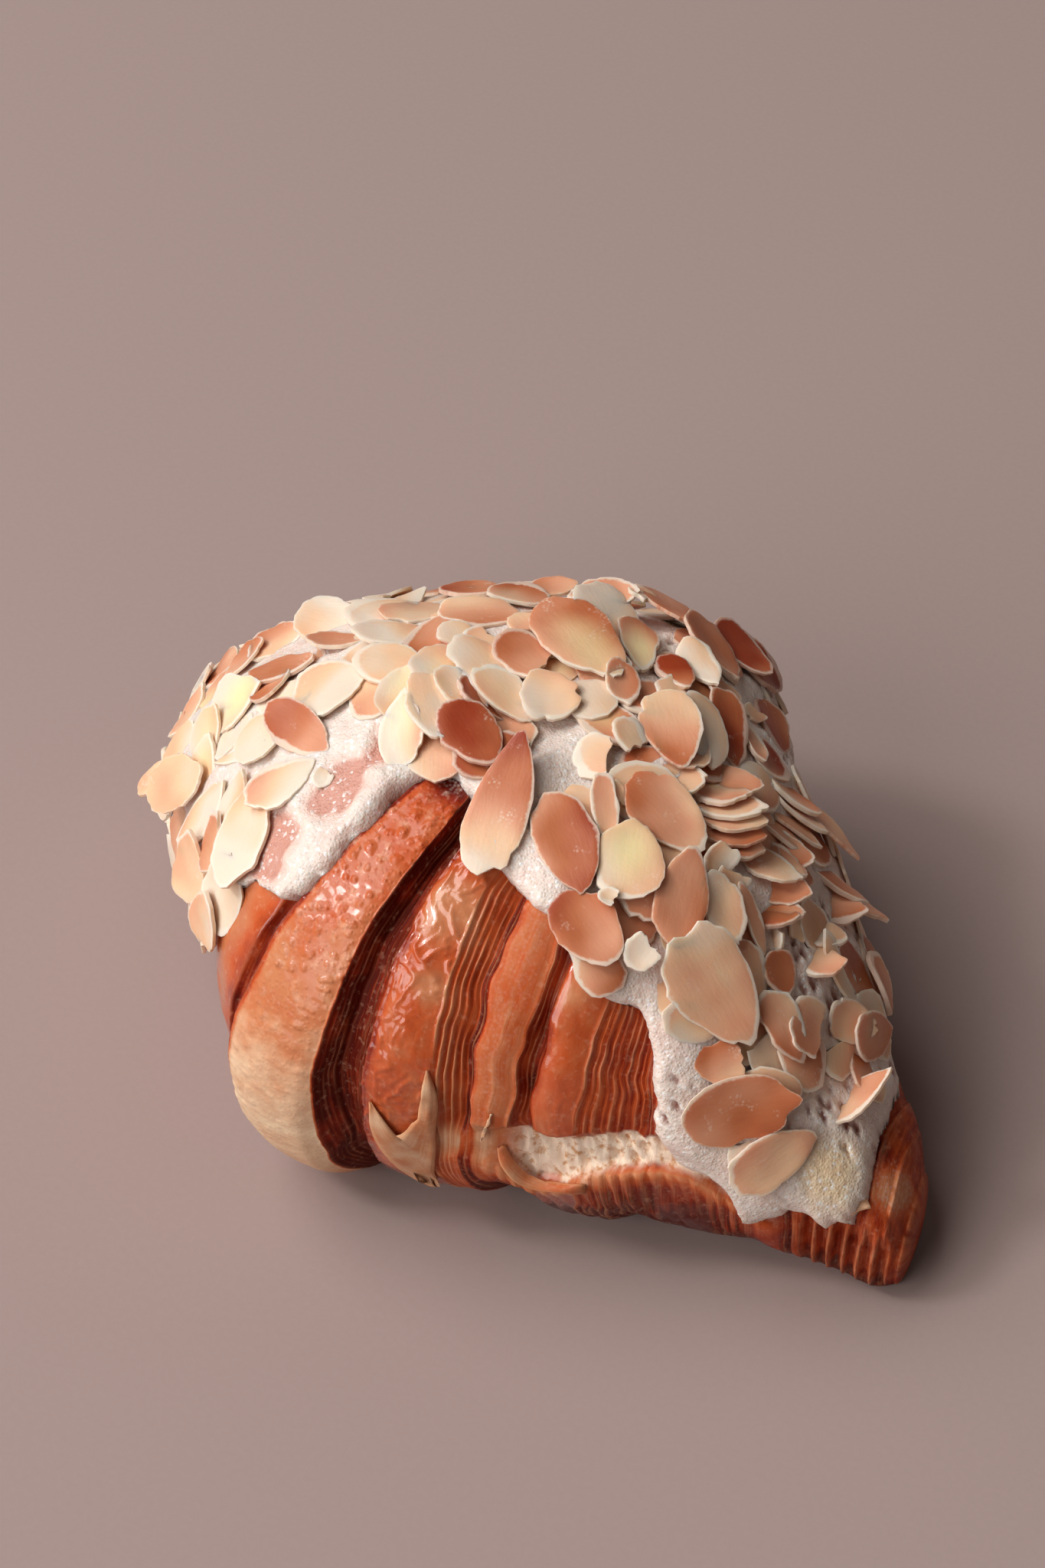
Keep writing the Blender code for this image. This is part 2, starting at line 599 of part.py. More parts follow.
def main():
    """Build the dough and its topping, each as one closed body."""
    clear_scene()
    croissant = new_collection("almond_croissant")
    dough = make_dough(croissant)
    coat = make_coat(croissant)
    pieces = new_collection("flaked_almonds")
    tree = BVHTree.FromObject(coat, bpy.context.evaluated_depsgraph_get())
    shown = shown_flakes(tree)
    flakes = shown + scattered_flakes(tree, shown)
    for number, (placement, length, width) in enumerate(flakes):
        make_flake(number, placement, length, width, pieces)
    combine(coat, pieces, "UNION")
    cutters = new_collection("cutters")
    make_mould(cutters)
    combine(coat, cutters, "DIFFERENCE")
    keep_one_body(coat)
    for obj in (dough, coat):
        move_to_centre(obj)


main()
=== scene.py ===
"""Almond croissant, dressed: baked laminated dough, almond cream and flaked almonds.

A place on the roll is given as on its solid: s (mm) along the curved spine from the main band, and
theta (degrees) round the section, 0 on top, 90 at the front and -90 at the back.
"""

from __future__ import annotations

import logging
import math
from dataclasses import dataclass, replace
from enum import Enum, auto
from itertools import product
from typing import Any

import bmesh
import bpy
import numpy as np
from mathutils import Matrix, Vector
from mathutils.bvhtree import BVHTree


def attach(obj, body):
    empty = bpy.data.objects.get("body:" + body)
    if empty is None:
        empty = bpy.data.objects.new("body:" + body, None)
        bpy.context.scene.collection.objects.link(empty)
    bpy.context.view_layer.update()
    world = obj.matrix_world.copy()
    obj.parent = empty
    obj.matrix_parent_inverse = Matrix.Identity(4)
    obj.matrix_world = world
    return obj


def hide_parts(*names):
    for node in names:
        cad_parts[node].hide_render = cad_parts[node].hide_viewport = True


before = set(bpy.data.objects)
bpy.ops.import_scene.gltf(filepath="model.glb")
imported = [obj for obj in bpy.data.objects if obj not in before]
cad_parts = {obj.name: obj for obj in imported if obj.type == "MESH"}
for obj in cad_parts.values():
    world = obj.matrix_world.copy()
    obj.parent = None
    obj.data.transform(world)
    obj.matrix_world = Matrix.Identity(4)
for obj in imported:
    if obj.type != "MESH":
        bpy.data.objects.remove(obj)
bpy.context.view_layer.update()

LOG = logging.getLogger("almond_croissant")
MM = 0.001
BODY = "root"

Array = np.ndarray
Mesh = bpy.types.Mesh
BMesh = bmesh.types.BMesh
Socket = bpy.types.NodeSocket
Knots = tuple[tuple[float, ...], ...]
Colour = tuple[float, float, float]
Zone = tuple[float, float, float]
Looks = dict[str, np.ndarray]


# ---- curves and random fields


def curve(knots: Knots, x: Array, column: int = 1) -> Array:
    """Smooth values through knots, held beyond the first and the last.

    Args:
        knots: Rows of a place and one or more values.
        x: Places to read the curve at.
        column: Which value of each row to read.

    Returns:
        The values at x.
    """
    table = np.array(knots, dtype=float)
    xs, ys = table[:, 0], table[:, column]
    slopes = np.gradient(ys, xs)
    x = np.clip(x, xs[0], xs[-1])
    i = np.clip(np.searchsorted(xs, x) - 1, 0, len(xs) - 2)
    width = xs[i + 1] - xs[i]
    t = (x - xs[i]) / width
    start = ys[i] * (1 + 2 * t) * (1 - t) ** 2 + slopes[i] * width * t * (1 - t) ** 2
    end = ys[i + 1] * t * t * (3 - 2 * t) - slopes[i + 1] * width * t * t * (1 - t)
    return start + end


def straight(knots: Knots, x: Array) -> Array:
    """Values at x on straight lines between the knots."""
    xs, ys = np.array(knots, dtype=float).T
    return np.interp(x, xs, ys)


def step_up(x: Array, low: float, high: float) -> Array:
    """Smooth step from 0 at low to 1 at high."""
    t = held((x - low) / (high - low))
    return t * t * (3 - 2 * t)


def held(values: Array) -> Array:
    """Values held between 0 and 1."""
    return np.clip(values, 0.0, 1.0)


def rows(*columns: Array) -> Array:
    """Rows made of columns of values."""
    return np.column_stack(columns)


def around(x: Array, y: Array, zone: Zone) -> Array:
    """Soft round spot: 1 at the middle of the zone (x, y, radius), fading out past its radius."""
    return np.exp(-(((x - zone[0]) ** 2 + (y - zone[1]) ** 2) / zone[2] ** 2) ** 2)


class SmoothNoise:
    """Smooth random field over three coordinates, between -1 and 1, the same on each run."""

    PERIOD = 64

    def __init__(self, seed: int) -> None:
        """Draw the field's table from a seed."""
        self.table = np.random.default_rng(seed).uniform(-1.0, 1.0, (self.PERIOD,) * 3)

    def at(self, points: Array, octaves: int = 1) -> Array:
        """Values of the field.

        Args:
            points: Rows of three coordinates, in units of the field's grain.
            octaves: How many finer layers are added, each half as strong as the last.

        Returns:
            One value for each row.
        """
        total, strength = np.zeros(len(points)), 1.0
        for octave in range(octaves):
            total += strength * self._layer(points * 2.0**octave + 17.3 * octave)
            strength *= 0.5
        return total

    def _layer(self, points: Array) -> Array:
        """One layer of the field at rows of coordinates."""
        base = np.floor(points).astype(int)
        t = points - base
        t = t * t * (3 - 2 * t)
        total = np.zeros(len(points))
        for corner in product((0, 1), repeat=3):
            i, j, k = ((base + corner) % self.PERIOD).T
            weight = np.prod(np.where(np.array(corner) == 1, t, 1 - t), axis=1)
            total += weight * self.table[i, j, k]
        return total


class Cells:
    """Scattered spots over two coordinates, one to each square cell, the same on each run."""

    PERIOD = 128

    def __init__(self, seed: int) -> None:
        """Draw the spots' places and strengths from a seed."""
        self.table = np.random.default_rng(seed).random((3, self.PERIOD, self.PERIOD))

    def nearest(self, u: Array, v: Array) -> tuple[Array, Array]:
        """Distance to the nearest spot and that spot's own random value.

        Args:
            u: First coordinates, in cells.
            v: Second coordinates, in cells.

        Returns:
            Distances in cells, and values from 0 to 1.
        """
        i, j = np.floor(u).astype(int), np.floor(v).astype(int)
        best, value = np.full(len(u), 9.0), np.zeros(len(u))
        for di, dj in product((-1, 0, 1), repeat=2):
            a, b = (i + di) % self.PERIOD, (j + dj) % self.PERIOD
            du = i + di + self.table[0, a, b] - u
            dv = j + dj + self.table[1, a, b] - v
            distance = np.hypot(du, dv)
            closer = distance < best
            best = np.where(closer, distance, best)
            value = np.where(closer, self.table[2, a, b], value)
        return best, value


# ---- the photograph's viewpoint


@dataclass(frozen=True)
class Viewpoint:
    """Where the picture is taken from.

    Attributes:
        azimuth: Turn of the view round the object, in degrees.
        elevation: Height of the view above the horizon, in degrees.
        distance: From the target to the lens, in metres.
        target: Point at the middle of the picture.
        lens: Focal length in mm on a 36 mm wide film, along the picture's long side.
        width: Picture's width in pixels.
        height: Picture's height in pixels.
    """

    azimuth: float = 44.7
    elevation: float = 49.6
    distance: float = 0.5415
    target: tuple[float, float, float] = (-0.02352, 0.0241, 0.0202)
    lens: float = 70.0
    width: int = 1365
    height: int = 2048

    def axes(self) -> tuple[Vector, Vector, Vector, Vector]:
        """The eye, and the backward, right and up directions."""
        azimuth, elevation = math.radians(self.azimuth), math.radians(self.elevation)
        level = math.cos(elevation)
        back = Vector((math.sin(azimuth) * level, -math.cos(azimuth) * level, math.sin(elevation)))
        right = Vector((math.cos(azimuth), math.sin(azimuth), 0.0))
        return Vector(self.target) + self.distance * back, back, right, back.cross(right)

    @property
    def focal(self) -> float:
        """Focal length in pixels."""
        return self.height * self.lens / 36.0

    def ray(self, across: float, down: float) -> tuple[Vector, Vector]:
        """The eye and the direction from it through a pixel."""
        eye, back, right, up = self.axes()
        ray = right * (across - self.width / 2) + up * (self.height / 2 - down) - back * self.focal
        return eye, ray.normalized()

    def pixels(self, points: Array) -> tuple[Array, Array]:
        """Pixels across and down at which rows of points show."""
        eye, back, right, up = (np.array(axis) for axis in self.axes())
        offset = points - eye
        scale = self.focal / -(offset @ back)
        return self.width / 2 + scale * (offset @ right), self.height / 2 - scale * (offset @ up)

    def place_camera(self) -> None:
        """Make the camera and set it as the scene's."""
        data = bpy.data.cameras.new("camera")
        data.lens = self.lens
        data.sensor_width = 36.0
        camera = bpy.data.objects.new("camera", data)
        camera.location = self.axes()[0]
        camera.rotation_euler = (math.radians(90 - self.elevation), 0.0, math.radians(self.azimuth))
        bpy.context.collection.objects.link(camera)
        bpy.context.scene.camera = camera


VIEW = Viewpoint()


# ---- the roll's form


@dataclass(frozen=True)
class RollForm:
    """The plain roll that everything is placed on (mm, degrees).

    Attributes:
        spine_radius: Bend of the spine.
        stations: Places along the spine, with half widths to front and back and the height.
        horn_shift: How far the near horn straightens towards the front.
        waist_share: Height of the widest line, as a share of the height.
        undercut: How far the side pulls in below the waist.
        base_corner: Theta where the side meets the flat base.
        centre: Middle of the outline along the spine's tangent, which lies at the origin.
    """

    spine_radius: float = 182.4
    stations: Knots = (
        (-84, 5.5, 5.5, 9), (-81.5, 10, 10, 17), (-76.5, 14, 14.5, 23.5),
        (-53.5, 29.3, 31, 49.3), (-26.8, 41.5, 44.5, 68.2), (0, 57, 57, 70),
        (10, 53, 55.5, 69.6), (26.8, 41.1, 45.5, 65.2), (53.5, 26, 30, 47.3),
        (72, 16.5, 17.5, 27.5), (78.5, 13.5, 13, 22), (80.5, 10.5, 9.5, 17.5),
    )
    horn_shift: Knots = ((48, 0), (62, 2.6), (80.5, 9))
    waist_share: float = 0.45
    undercut: float = 0.096
    base_corner: float = 136.0
    centre: float = 1.42
    side_roundness: float = 0.95
    top_roundness: float = 0.9
    base_roundness: float = 0.75

    def point(self, s: Array, theta: Array, depth: Array, cap: Array | float = 0.0) -> Array:
        """Points on the roll.

        Args:
            s: Places along the spine.
            theta: Angles round the section; past the base corner they run across the flat base.
            depth: Depths below the plain roll.
            cap: How far round the closing end a place is, from 0 to 1.

        Returns:
            Rows of coordinates in metres.
        """
        half = np.where(theta > 0, curve(self.stations, s, 1), curve(self.stations, s, 2))
        height = curve(self.stations, s, 3)
        waist = self.waist_share * height
        angle = np.radians(np.clip(theta, -self.base_corner, self.base_corner))
        sine, cosine = np.sin(angle), np.cos(angle)
        across = half * np.sign(sine) * np.abs(sine) ** self.side_roundness
        across *= np.where(cosine < 0, 1.0 + self.undercut * cosine, 1.0)
        corner = -math.cos(math.radians(self.base_corner))
        low = held(-cosine / corner) ** self.base_roundness
        above = np.where(cosine < 0, -waist * low, (height - waist) * np.abs(cosine) ** self.top_roundness)
        shrink = 1.0 - depth / np.maximum(np.hypot(across, above), 1.0)
        inward = held((np.abs(theta) - self.base_corner) / (180 - self.base_corner))
        closing = np.cos(np.radians(90.0 * cap))
        bulge = np.sign(s) * 1.6 * np.sin(np.radians(90.0 * cap))
        across = across * shrink * (1.0 - inward) * closing
        above = waist * (0.55 + 0.45 * closing) + above * shrink * closing
        return self.on_spine(s, across, np.maximum(above, 0.0), bulge)

    def on_spine(self, s: Array, across: Array, height: Array, bulge: Array | float = 0.0) -> Array:
        """Turn places along and across the spine into points in metres."""
        angle = s / self.spine_radius
        across = across + curve(self.horn_shift, s)
        x = (self.spine_radius + across) * np.sin(angle) + bulge * np.cos(angle) - self.centre
        y = self.spine_radius - (self.spine_radius + across) * np.cos(angle) + bulge * np.sin(angle)
        return rows(x, y, height) * MM

    def girth(self, s: Array) -> Array:
        """Mm round the section for each degree of theta."""
        widths = curve(self.stations, s, 1) + curve(self.stations, s, 2)
        return math.radians(1.0) * (widths + curve(self.stations, s, 3)) / 4.0


ROLL = RollForm()


class Strip(Enum):
    """Kinds of strip between two seams of the roll."""

    CROWN = auto()
    FACE = auto()
    FLOOR = auto()
    TAIL = auto()


@dataclass(frozen=True)
class Skin:
    """Finish of one strip of the roll.

    Attributes:
        kind: Where the strip lies on its band.
        columns: Columns of mesh across it.
        tone: From 0, pale gold, to 1, deep brown.
        gloss: From 0, matt, to 1, shiny with glaze.
        leaves: Number of leaves that show edge-on.
        relief: How far those leaves stand proud (mm).
        pale: How much lighter their edges are.
        fibre: How strongly fine strands show along it.
        wrinkle: Height of the crinkled glaze (mm).
        blister: Height of the blisters (mm).
    """

    kind: Strip
    columns: int
    tone: float
    gloss: float
    leaves: int = 0
    relief: float = 0.0
    pale: float = 0.0
    fibre: float = 0.0
    wrinkle: float = 0.0
    blister: float = 0.0


# On both sides the face and floor strips lie in the seams' recesses; their deep tones are partly the
# crust's own colour and partly painted shade.
NEAR_SKINS = (
    Skin(Strip.CROWN, 24, 0.42, 0.12, blister=0.30),
    Skin(Strip.FACE, 16, 0.96, 0.12, 5, 0.45, 0.25, 0.8),
    Skin(Strip.FLOOR, 16, 0.96, 0.15, 4, 0.35, 0.15, 0.7),
    Skin(Strip.CROWN, 34, 0.60, 1.0, wrinkle=0.34, fibre=0.15),
    Skin(Strip.FACE, 24, 0.60, 0.40, 5, 0.65, 1.0, 0.7),
    Skin(Strip.FLOOR, 10, 0.96, 0.20, 2, 0.35, 0.40, 0.8),
    Skin(Strip.CROWN, 16, 0.50, 0.20, 2, 0.20, 0.40, 0.4, wrinkle=0.08),
    Skin(Strip.FACE, 14, 0.76, 0.30, 3, 0.50, 0.70, 0.8),
    Skin(Strip.FLOOR, 9, 0.86, 0.40, 2, 0.40, 0.35, 1.0),
    Skin(Strip.CROWN, 24, 0.60, 0.95, wrinkle=0.26, fibre=0.15),
    Skin(Strip.FACE, 40, 0.72, 0.40, 9, 0.42, 0.65, 1.0),
    Skin(Strip.FLOOR, 9, 0.84, 0.40, 3, 0.35, 0.40, 1.0),
    Skin(Strip.CROWN, 12, 0.68, 0.60, wrinkle=0.15, fibre=0.3),
    Skin(Strip.FACE, 8, 0.80, 0.40, 2, 0.35, 0.45, 1.0),
    Skin(Strip.FLOOR, 6, 0.88, 0.40, 2, 0.30, 0.30, 1.0),
    Skin(Strip.CROWN, 9, 0.74, 0.50, wrinkle=0.12, fibre=0.3),
    Skin(Strip.FACE, 6, 0.84, 0.40, 2, 0.30, 0.40, 1.0),
    Skin(Strip.TAIL, 64, 0.66, 0.35, 6, 0.55, 0.35, 0.8),
)
FAR_SKINS = (
    Skin(Strip.CROWN, 24, 0.42, 0.12, blister=0.30),
    Skin(Strip.FACE, 10, 0.80, 0.40, 3, 0.35, 0.30, 1.0),
    Skin(Strip.FLOOR, 9, 0.80, 0.50, 2, 0.30, 0.20, 0.8),
    Skin(Strip.CROWN, 26, 0.50, 1.0, wrinkle=0.07, fibre=0.05),
    Skin(Strip.FACE, 6, 0.76, 0.40, 2, 0.40, 0.60, 1.0),
    Skin(Strip.FLOOR, 6, 0.86, 0.45, 2, 0.30, 0.30, 1.0),
    Skin(Strip.CROWN, 18, 0.58, 0.80, wrinkle=0.16, fibre=0.15),
    Skin(Strip.FACE, 6, 0.76, 0.40, 2, 0.40, 0.60, 1.0),
    Skin(Strip.FLOOR, 6, 0.86, 0.45, 2, 0.30, 0.30, 1.0),
    Skin(Strip.CROWN, 16, 0.60, 0.70, wrinkle=0.16, fibre=0.15),
    Skin(Strip.FACE, 6, 0.76, 0.40, 2, 0.40, 0.60, 1.0),
    Skin(Strip.FLOOR, 5, 0.86, 0.45, 1, 0.30, 0.30, 1.0),
    Skin(Strip.CROWN, 12, 0.64, 0.60, wrinkle=0.14, fibre=0.2),
    Skin(Strip.FACE, 4, 0.80, 0.40, 1, 0.30, 0.50, 1.0),
    Skin(Strip.TAIL, 22, 0.66, 0.35, 3, 0.40, 0.30, 0.6),
)


@dataclass(frozen=True)
class Side:
    """The bands on one side of the main band.

    Attributes:
        main: Crown end, foot (each on top and at the waist) and step of the main band.
        bands: The same of each further band, after the place where its crown starts.
        end: Distance of the roll's end.
        skins: Finish of each strip, from the main band outwards.
    """

    main: tuple
    bands: tuple
    end: float
    skins: tuple[Skin, ...]

    def steps(self) -> list[float]:
        """Depth of the step below each band."""
        return [self.main[2]] + [band[3] for band in self.bands]

    def seams(self, theta: Array) -> list[Array]:
        """Distances of the seams from the main band's middle, at theta."""
        share = held((np.abs(theta) - 10.0) / 80.0) ** 0.6
        pairs = [self.main[0], self.main[1]]
        for start, crown_end, foot, _ in self.bands:
            pairs += [start, crown_end, foot]
        inner = [top + (waist - top) * share for top, waist in pairs]
        return [np.zeros_like(theta)] + inner + [np.full_like(theta, self.end)]


NEAR = Side(
    main=((2, 7.3), (2.6, 8.3), 5),
    bands=(
        ((4.9, 12.9), (10.5, 20.5), (14, 23.2), 3.6),
        ((15.5, 24.8), (23.5, 29.5), (24.2, 30.4), 3.2),
        ((25.3, 31.6), (32.3, 36.8), (36, 45), 3.4),
        ((38, 47), (47, 54.5), (49, 57), 2.5),
        ((51, 59), (58, 63.5), (60, 65), 1.4),
    ),
    end=80.5,
    skins=NEAR_SKINS,
)
FAR = Side(
    main=((4.2, 6.4), (4.8, 7.4), 3.2),
    bands=(
        ((6, 9), (19, 24), (21, 26.5), 3),
        ((23, 28.5), (34, 38.5), (36, 41), 3),
        ((38, 43), (48, 52.5), (50, 55), 2.5),
        ((52, 57), (62, 66), (64, 68.5), 1.8),
    ),
    end=84.0,
    skins=FAR_SKINS,
)


@dataclass(frozen=True)
class Relief:
    """How deep the bands, the split and the ribs cut into the plain roll (mm, degrees)."""

    crown_start: float = 1.1
    crown_end: float = 0.5
    share: Knots = ((0, 1), (96, 1), (124, 0.4), (136, 0))
    tail_height: float = 3.6
    tail_along: Knots = ((5.5, 1), (9, 0))
    tail_down: Knots = ((70, 0), (112, 1), (124, 1), (136, 0))
    crumb_line: Knots = ((14, 96), (24, 88), (30, 85), (34, 85), (38, 81),
                         (42, 77), (46, 74), (50, 71.5), (54, 71.5), (62, 81))
    lip_line: Knots = ((14, 104), (24, 93), (28, 93.5), (31.5, 98), (34, 97), (38, 91.5),
                       (42, 87.5), (47, 82.5), (52, 80.5), (56, 83), (62, 89))
    lip_reach: Knots = ((14, 0), (24, 0.3), (34, 1), (54, 0.5), (64, 0))
    ledge: Knots = ((16, 0), (26, 1.8), (30, 3.4), (35, 2.6), (54, 2.2), (64, 0))
    brink: float = 4.0
    hollow: Knots = ((23, 0), (25.5, 3.2), (29.5, 3), (32, 0.4), (34, 0), (40, 0.2),
                     (43.5, 2.4), (47, 1), (54, 1), (60, 2), (64, 0.4), (66, 0))
    hollow_down: Knots = ((98, 0), (116, 1), (136, 1), (160, 0))

    def strip_depth(self, side: Side, strip: int, along: Array) -> Array:
        """Depth of the bands within one strip.

        Args:
            side: The bands that the strip belongs to.
            strip: Number of the strip from the main band.
            along: Share of the way across the strip.

        Returns:
            Depths below the plain roll.
        """
        kind, steps = side.skins[strip].kind, side.steps()
        band = (strip + 2) // 3 - (1 if kind is Strip.FLOOR else 0)
        if kind is Strip.CROWN and strip == 0:
            return self.crown_end * held((along - 0.6) / 0.4) ** 2
        if kind is Strip.CROWN:
            rise = self.crown_start * held(1.0 - 2.0 * along) ** 1.8
            return rise + self.crown_end * held(2.0 * along - 1.0) ** 2
        if kind is Strip.FACE:
            step = steps[(strip - 1) // 3]
            return self.crown_end + (step - self.crown_end) * along
        if kind is Strip.FLOOR:
            step = steps[(strip - 2) // 3]
            return straight(((0.0, step), (0.55, 0.8 * step), (1.0, self.crown_start)), along)
        return np.full_like(along, steps[-1])

    def band_depth(self, q: Array) -> Array:
        """Depth of the bands at strip coordinates q: whole part the strip, rest the way across."""
        depth = np.zeros_like(q)
        for side, sign in ((NEAR, 1.0), (FAR, -1.0)):
            for strip in range(len(side.skins)):
                here = (sign * q >= strip) & (sign * q <= strip + 1)
                depth[here] = self.strip_depth(side, strip, sign * q[here] - strip)
        return depth

    def inside_split(self, s: Array, theta: Array) -> Array:
        """How far places lie inside the split: 0 above it, 1 on its ledge and its lip."""
        opened = step_up(s, 15.0, 24.0) * step_up(-s, -66.0, -58.0)
        return opened * held((theta - curve(self.crumb_line, s)) / self.brink + 1.0)

    def split_depth(self, s: Array, theta: Array) -> Array:
        """Depth of the split above the base at the front; its lip stands proud."""
        crumb, lip = curve(self.crumb_line, s), curve(self.lip_line, s)
        ledge, reach = curve(self.ledge, s), curve(self.lip_reach, s)
        above = ledge * held((theta - crumb) / self.brink + 1.0)
        ledge_in = ledge * (1.0 - 0.6 * held((theta - crumb) / (lip - 2.0 - crumb)))
        to_lip = held((theta - lip + 2.0) / 2.0)
        inside = ledge_in * (1.0 - to_lip) - reach * to_lip
        fade = held((136.0 - theta) / 18.0)
        depth = np.where(theta < crumb, above, inside * fade)
        hollow = straight(self.hollow, s) * straight(self.hollow_down, theta)
        return np.where(theta > 40.0, depth, 0.0) + hollow

    def dough_depth(self, s: Array, theta: Array, q: Array) -> Array:
        """Depth of the dough's main forms below the plain roll."""
        share = straight(self.share, np.abs(theta)) * (1.0 - self.inside_split(s, theta))
        return self.band_depth(q) * share + self.split_depth(s, theta) - self.tail_rise(s, theta)

    def tail_rise(self, s: Array, theta: Array) -> Array:
        """How far the main band's thick tail stands out near the base."""
        down = straight(self.tail_down, np.abs(theta))
        return self.tail_height * straight(self.tail_along, np.abs(s)) * down


RELIEF = Relief()


def seam_coordinate(s: Array, theta: Array) -> Array:
    """Strip coordinate q of places given by s and theta."""
    q = np.zeros_like(s)
    for side, sign in ((NEAR, 1.0), (FAR, -1.0)):
        seams = side.seams(theta)
        along = sign * s
        for strip, (start, end) in enumerate(zip(seams, seams[1:])):
            here = (along >= start) & (along < end) & (sign * s >= 0)
            q[here] = sign * (strip + (along[here] - start[here]) / (end[here] - start[here]))
    return q


def dough_depth(s: Array, theta: Array) -> Array:
    """Depth of the dough's main forms below the plain roll, by place alone."""
    return RELIEF.dough_depth(s, theta, seam_coordinate(s, theta))


# ---- helpers for meshes


def coordinates(bm: BMesh) -> Array:
    """Rows of the vertices' coordinates."""
    return np.array([vert.co[:] for vert in bm.verts])


def grid(columns: int, rows: int) -> BMesh:
    """A flat grid whose vertices stand at whole numbers from 0 to columns and 0 to rows."""
    bm = bmesh.new()
    bmesh.ops.create_grid(bm, x_segments=columns, y_segments=rows, size=0.5)
    for vert in bm.verts:
        vert.co = Vector(((vert.co.x + 0.5) * columns, (vert.co.y + 0.5) * rows, 0.0))
    return bm


def refine(bm: BMesh, first: float, last: float, low: float, high: float, cuts: int) -> None:
    """Cut the grid's edges that run along its rows' direction, within a range of the grid.

    Args:
        bm: The grid.
        first: First column of the range.
        last: Last column.
        low: First row.
        high: Last row.
        cuts: New vertices on each edge.
    """
    edges = []
    for edge in bm.edges:
        a, b = edge.verts[0].co, edge.verts[1].co
        upright = abs(a.x - b.x) < 0.01
        if upright and first <= a.x <= last and low <= min(a.y, b.y) and max(a.y, b.y) <= high:
            edges.append(edge)
    bmesh.ops.subdivide_edges(bm, edges=edges, cuts=cuts, use_grid_fill=True)


def thicken(bm: BMesh) -> tuple[Array, Array]:
    """Extrude all of a sheet, so that it has two sides and a rim.

    Args:
        bm: The sheet.

    Returns:
        For each vertex, the number of the sheet's vertex that it comes from, and whether it is new.
    """
    layer = bm.verts.layers.int.new("source")
    for number, vert in enumerate(bm.verts):
        vert[layer] = number
    made = bmesh.ops.extrude_face_region(bm, geom=list(bm.faces))["geom"]
    fresh = {part for part in made if isinstance(part, bmesh.types.BMVert)}
    source = np.array([vert[layer] for vert in bm.verts])
    is_new = np.array([vert in fresh for vert in bm.verts])
    bm.verts.layers.int.remove(layer)
    return source, is_new


def mesh_from(bm: BMesh, name: str, points: Array, looks: Looks) -> Mesh:
    """Make a mesh from a bmesh, with its vertices moved and its looks stored.

    Args:
        bm: The bmesh, which is freed.
        name: Name of the mesh.
        points: New coordinates, in metres.
        looks: Values for each vertex, by attribute name; rows of three make a vector.

    Returns:
        The new mesh.
    """
    mesh = bpy.data.meshes.new(name)
    bm.to_mesh(mesh)
    bm.free()
    mesh.vertices.foreach_set("co", points.ravel())
    for key, values in looks.items():
        vector = values.ndim == 2
        attribute = mesh.attributes.new(key, "FLOAT_VECTOR" if vector else "FLOAT", "POINT")
        attribute.data.foreach_set("vector" if vector else "value", values.ravel())
    mesh.update()
    return mesh


def turn_out(mesh: Mesh, weld: bool = False) -> None:
    """Turn the faces of closed forms outwards and shade them smooth.

    Args:
        mesh: The mesh.
        weld: Whether vertices that coincide are welded and open ends closed first.
    """
    bm = bmesh.new()
    bm.from_mesh(mesh)
    if weld:
        bmesh.ops.remove_doubles(bm, verts=bm.verts, dist=2e-6)
        bmesh.ops.dissolve_degenerate(bm, edges=bm.edges, dist=1e-7)
        bmesh.ops.holes_fill(bm, edges=bm.edges, sides=0)
    bmesh.ops.recalc_face_normals(bm, faces=bm.faces)
    if weld and bm.calc_volume(signed=True) < 0:
        bmesh.ops.reverse_faces(bm, faces=bm.faces)
    bm.to_mesh(mesh)
    bm.free()
    mesh.shade_smooth()
    mesh.update()


def add_piece(mesh: Mesh, finish: bpy.types.Material) -> bpy.types.Object:
    """Put a finished mesh in the scene, riding on the roll.

    Args:
        mesh: The mesh, in place.
        finish: Its material.

    Returns:
        The piece.
    """
    piece = bpy.data.objects.new(mesh.name, mesh)
    mesh.materials.append(finish)
    bpy.context.collection.objects.link(piece)
    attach(piece, BODY)
    LOG.info("%s: %d faces", piece.name, len(mesh.polygons))
    return piece


def mesh_tree(mesh: Mesh) -> BVHTree:
    """A tree of a mesh's faces, for casting rays on."""
    count = len(mesh.vertices)
    points = np.empty(count * 3)
    mesh.vertices.foreach_get("co", points)
    faces = [tuple(face.vertices) for face in mesh.polygons]
    return BVHTree.FromPolygons(points.reshape(count, 3).tolist(), faces)


@dataclass(frozen=True)
class SlabForm:
    """A thin square slab that flakes and peels are bent from.

    Attributes:
        along: Squares along it.
        over: Squares across it.
    """

    along: int
    over: int

    def make(self) -> tuple[Mesh, Array, Array]:
        """Make the slab.

        Returns:
            Its mesh, its vertices' places from -1 to 1 both ways, and 1 above or -1 below.
        """
        bm = grid(self.along, self.over)
        _, upper = thicken(bm)
        mesh = bpy.data.meshes.new("slab")
        bm.to_mesh(mesh)
        bm.free()
        flat = np.array([vert.co[:2] for vert in mesh.vertices])
        return mesh, flat / (self.along, self.over) * 2.0 - 1.0, np.where(upper, 1.0, -1.0)


# ---- the baked roll

CRUST_LOOKS = ("tone", "gloss", "edge", "recess_shade_and_lines", "crumb", "sugar", "fibre", "blister", "leaf")


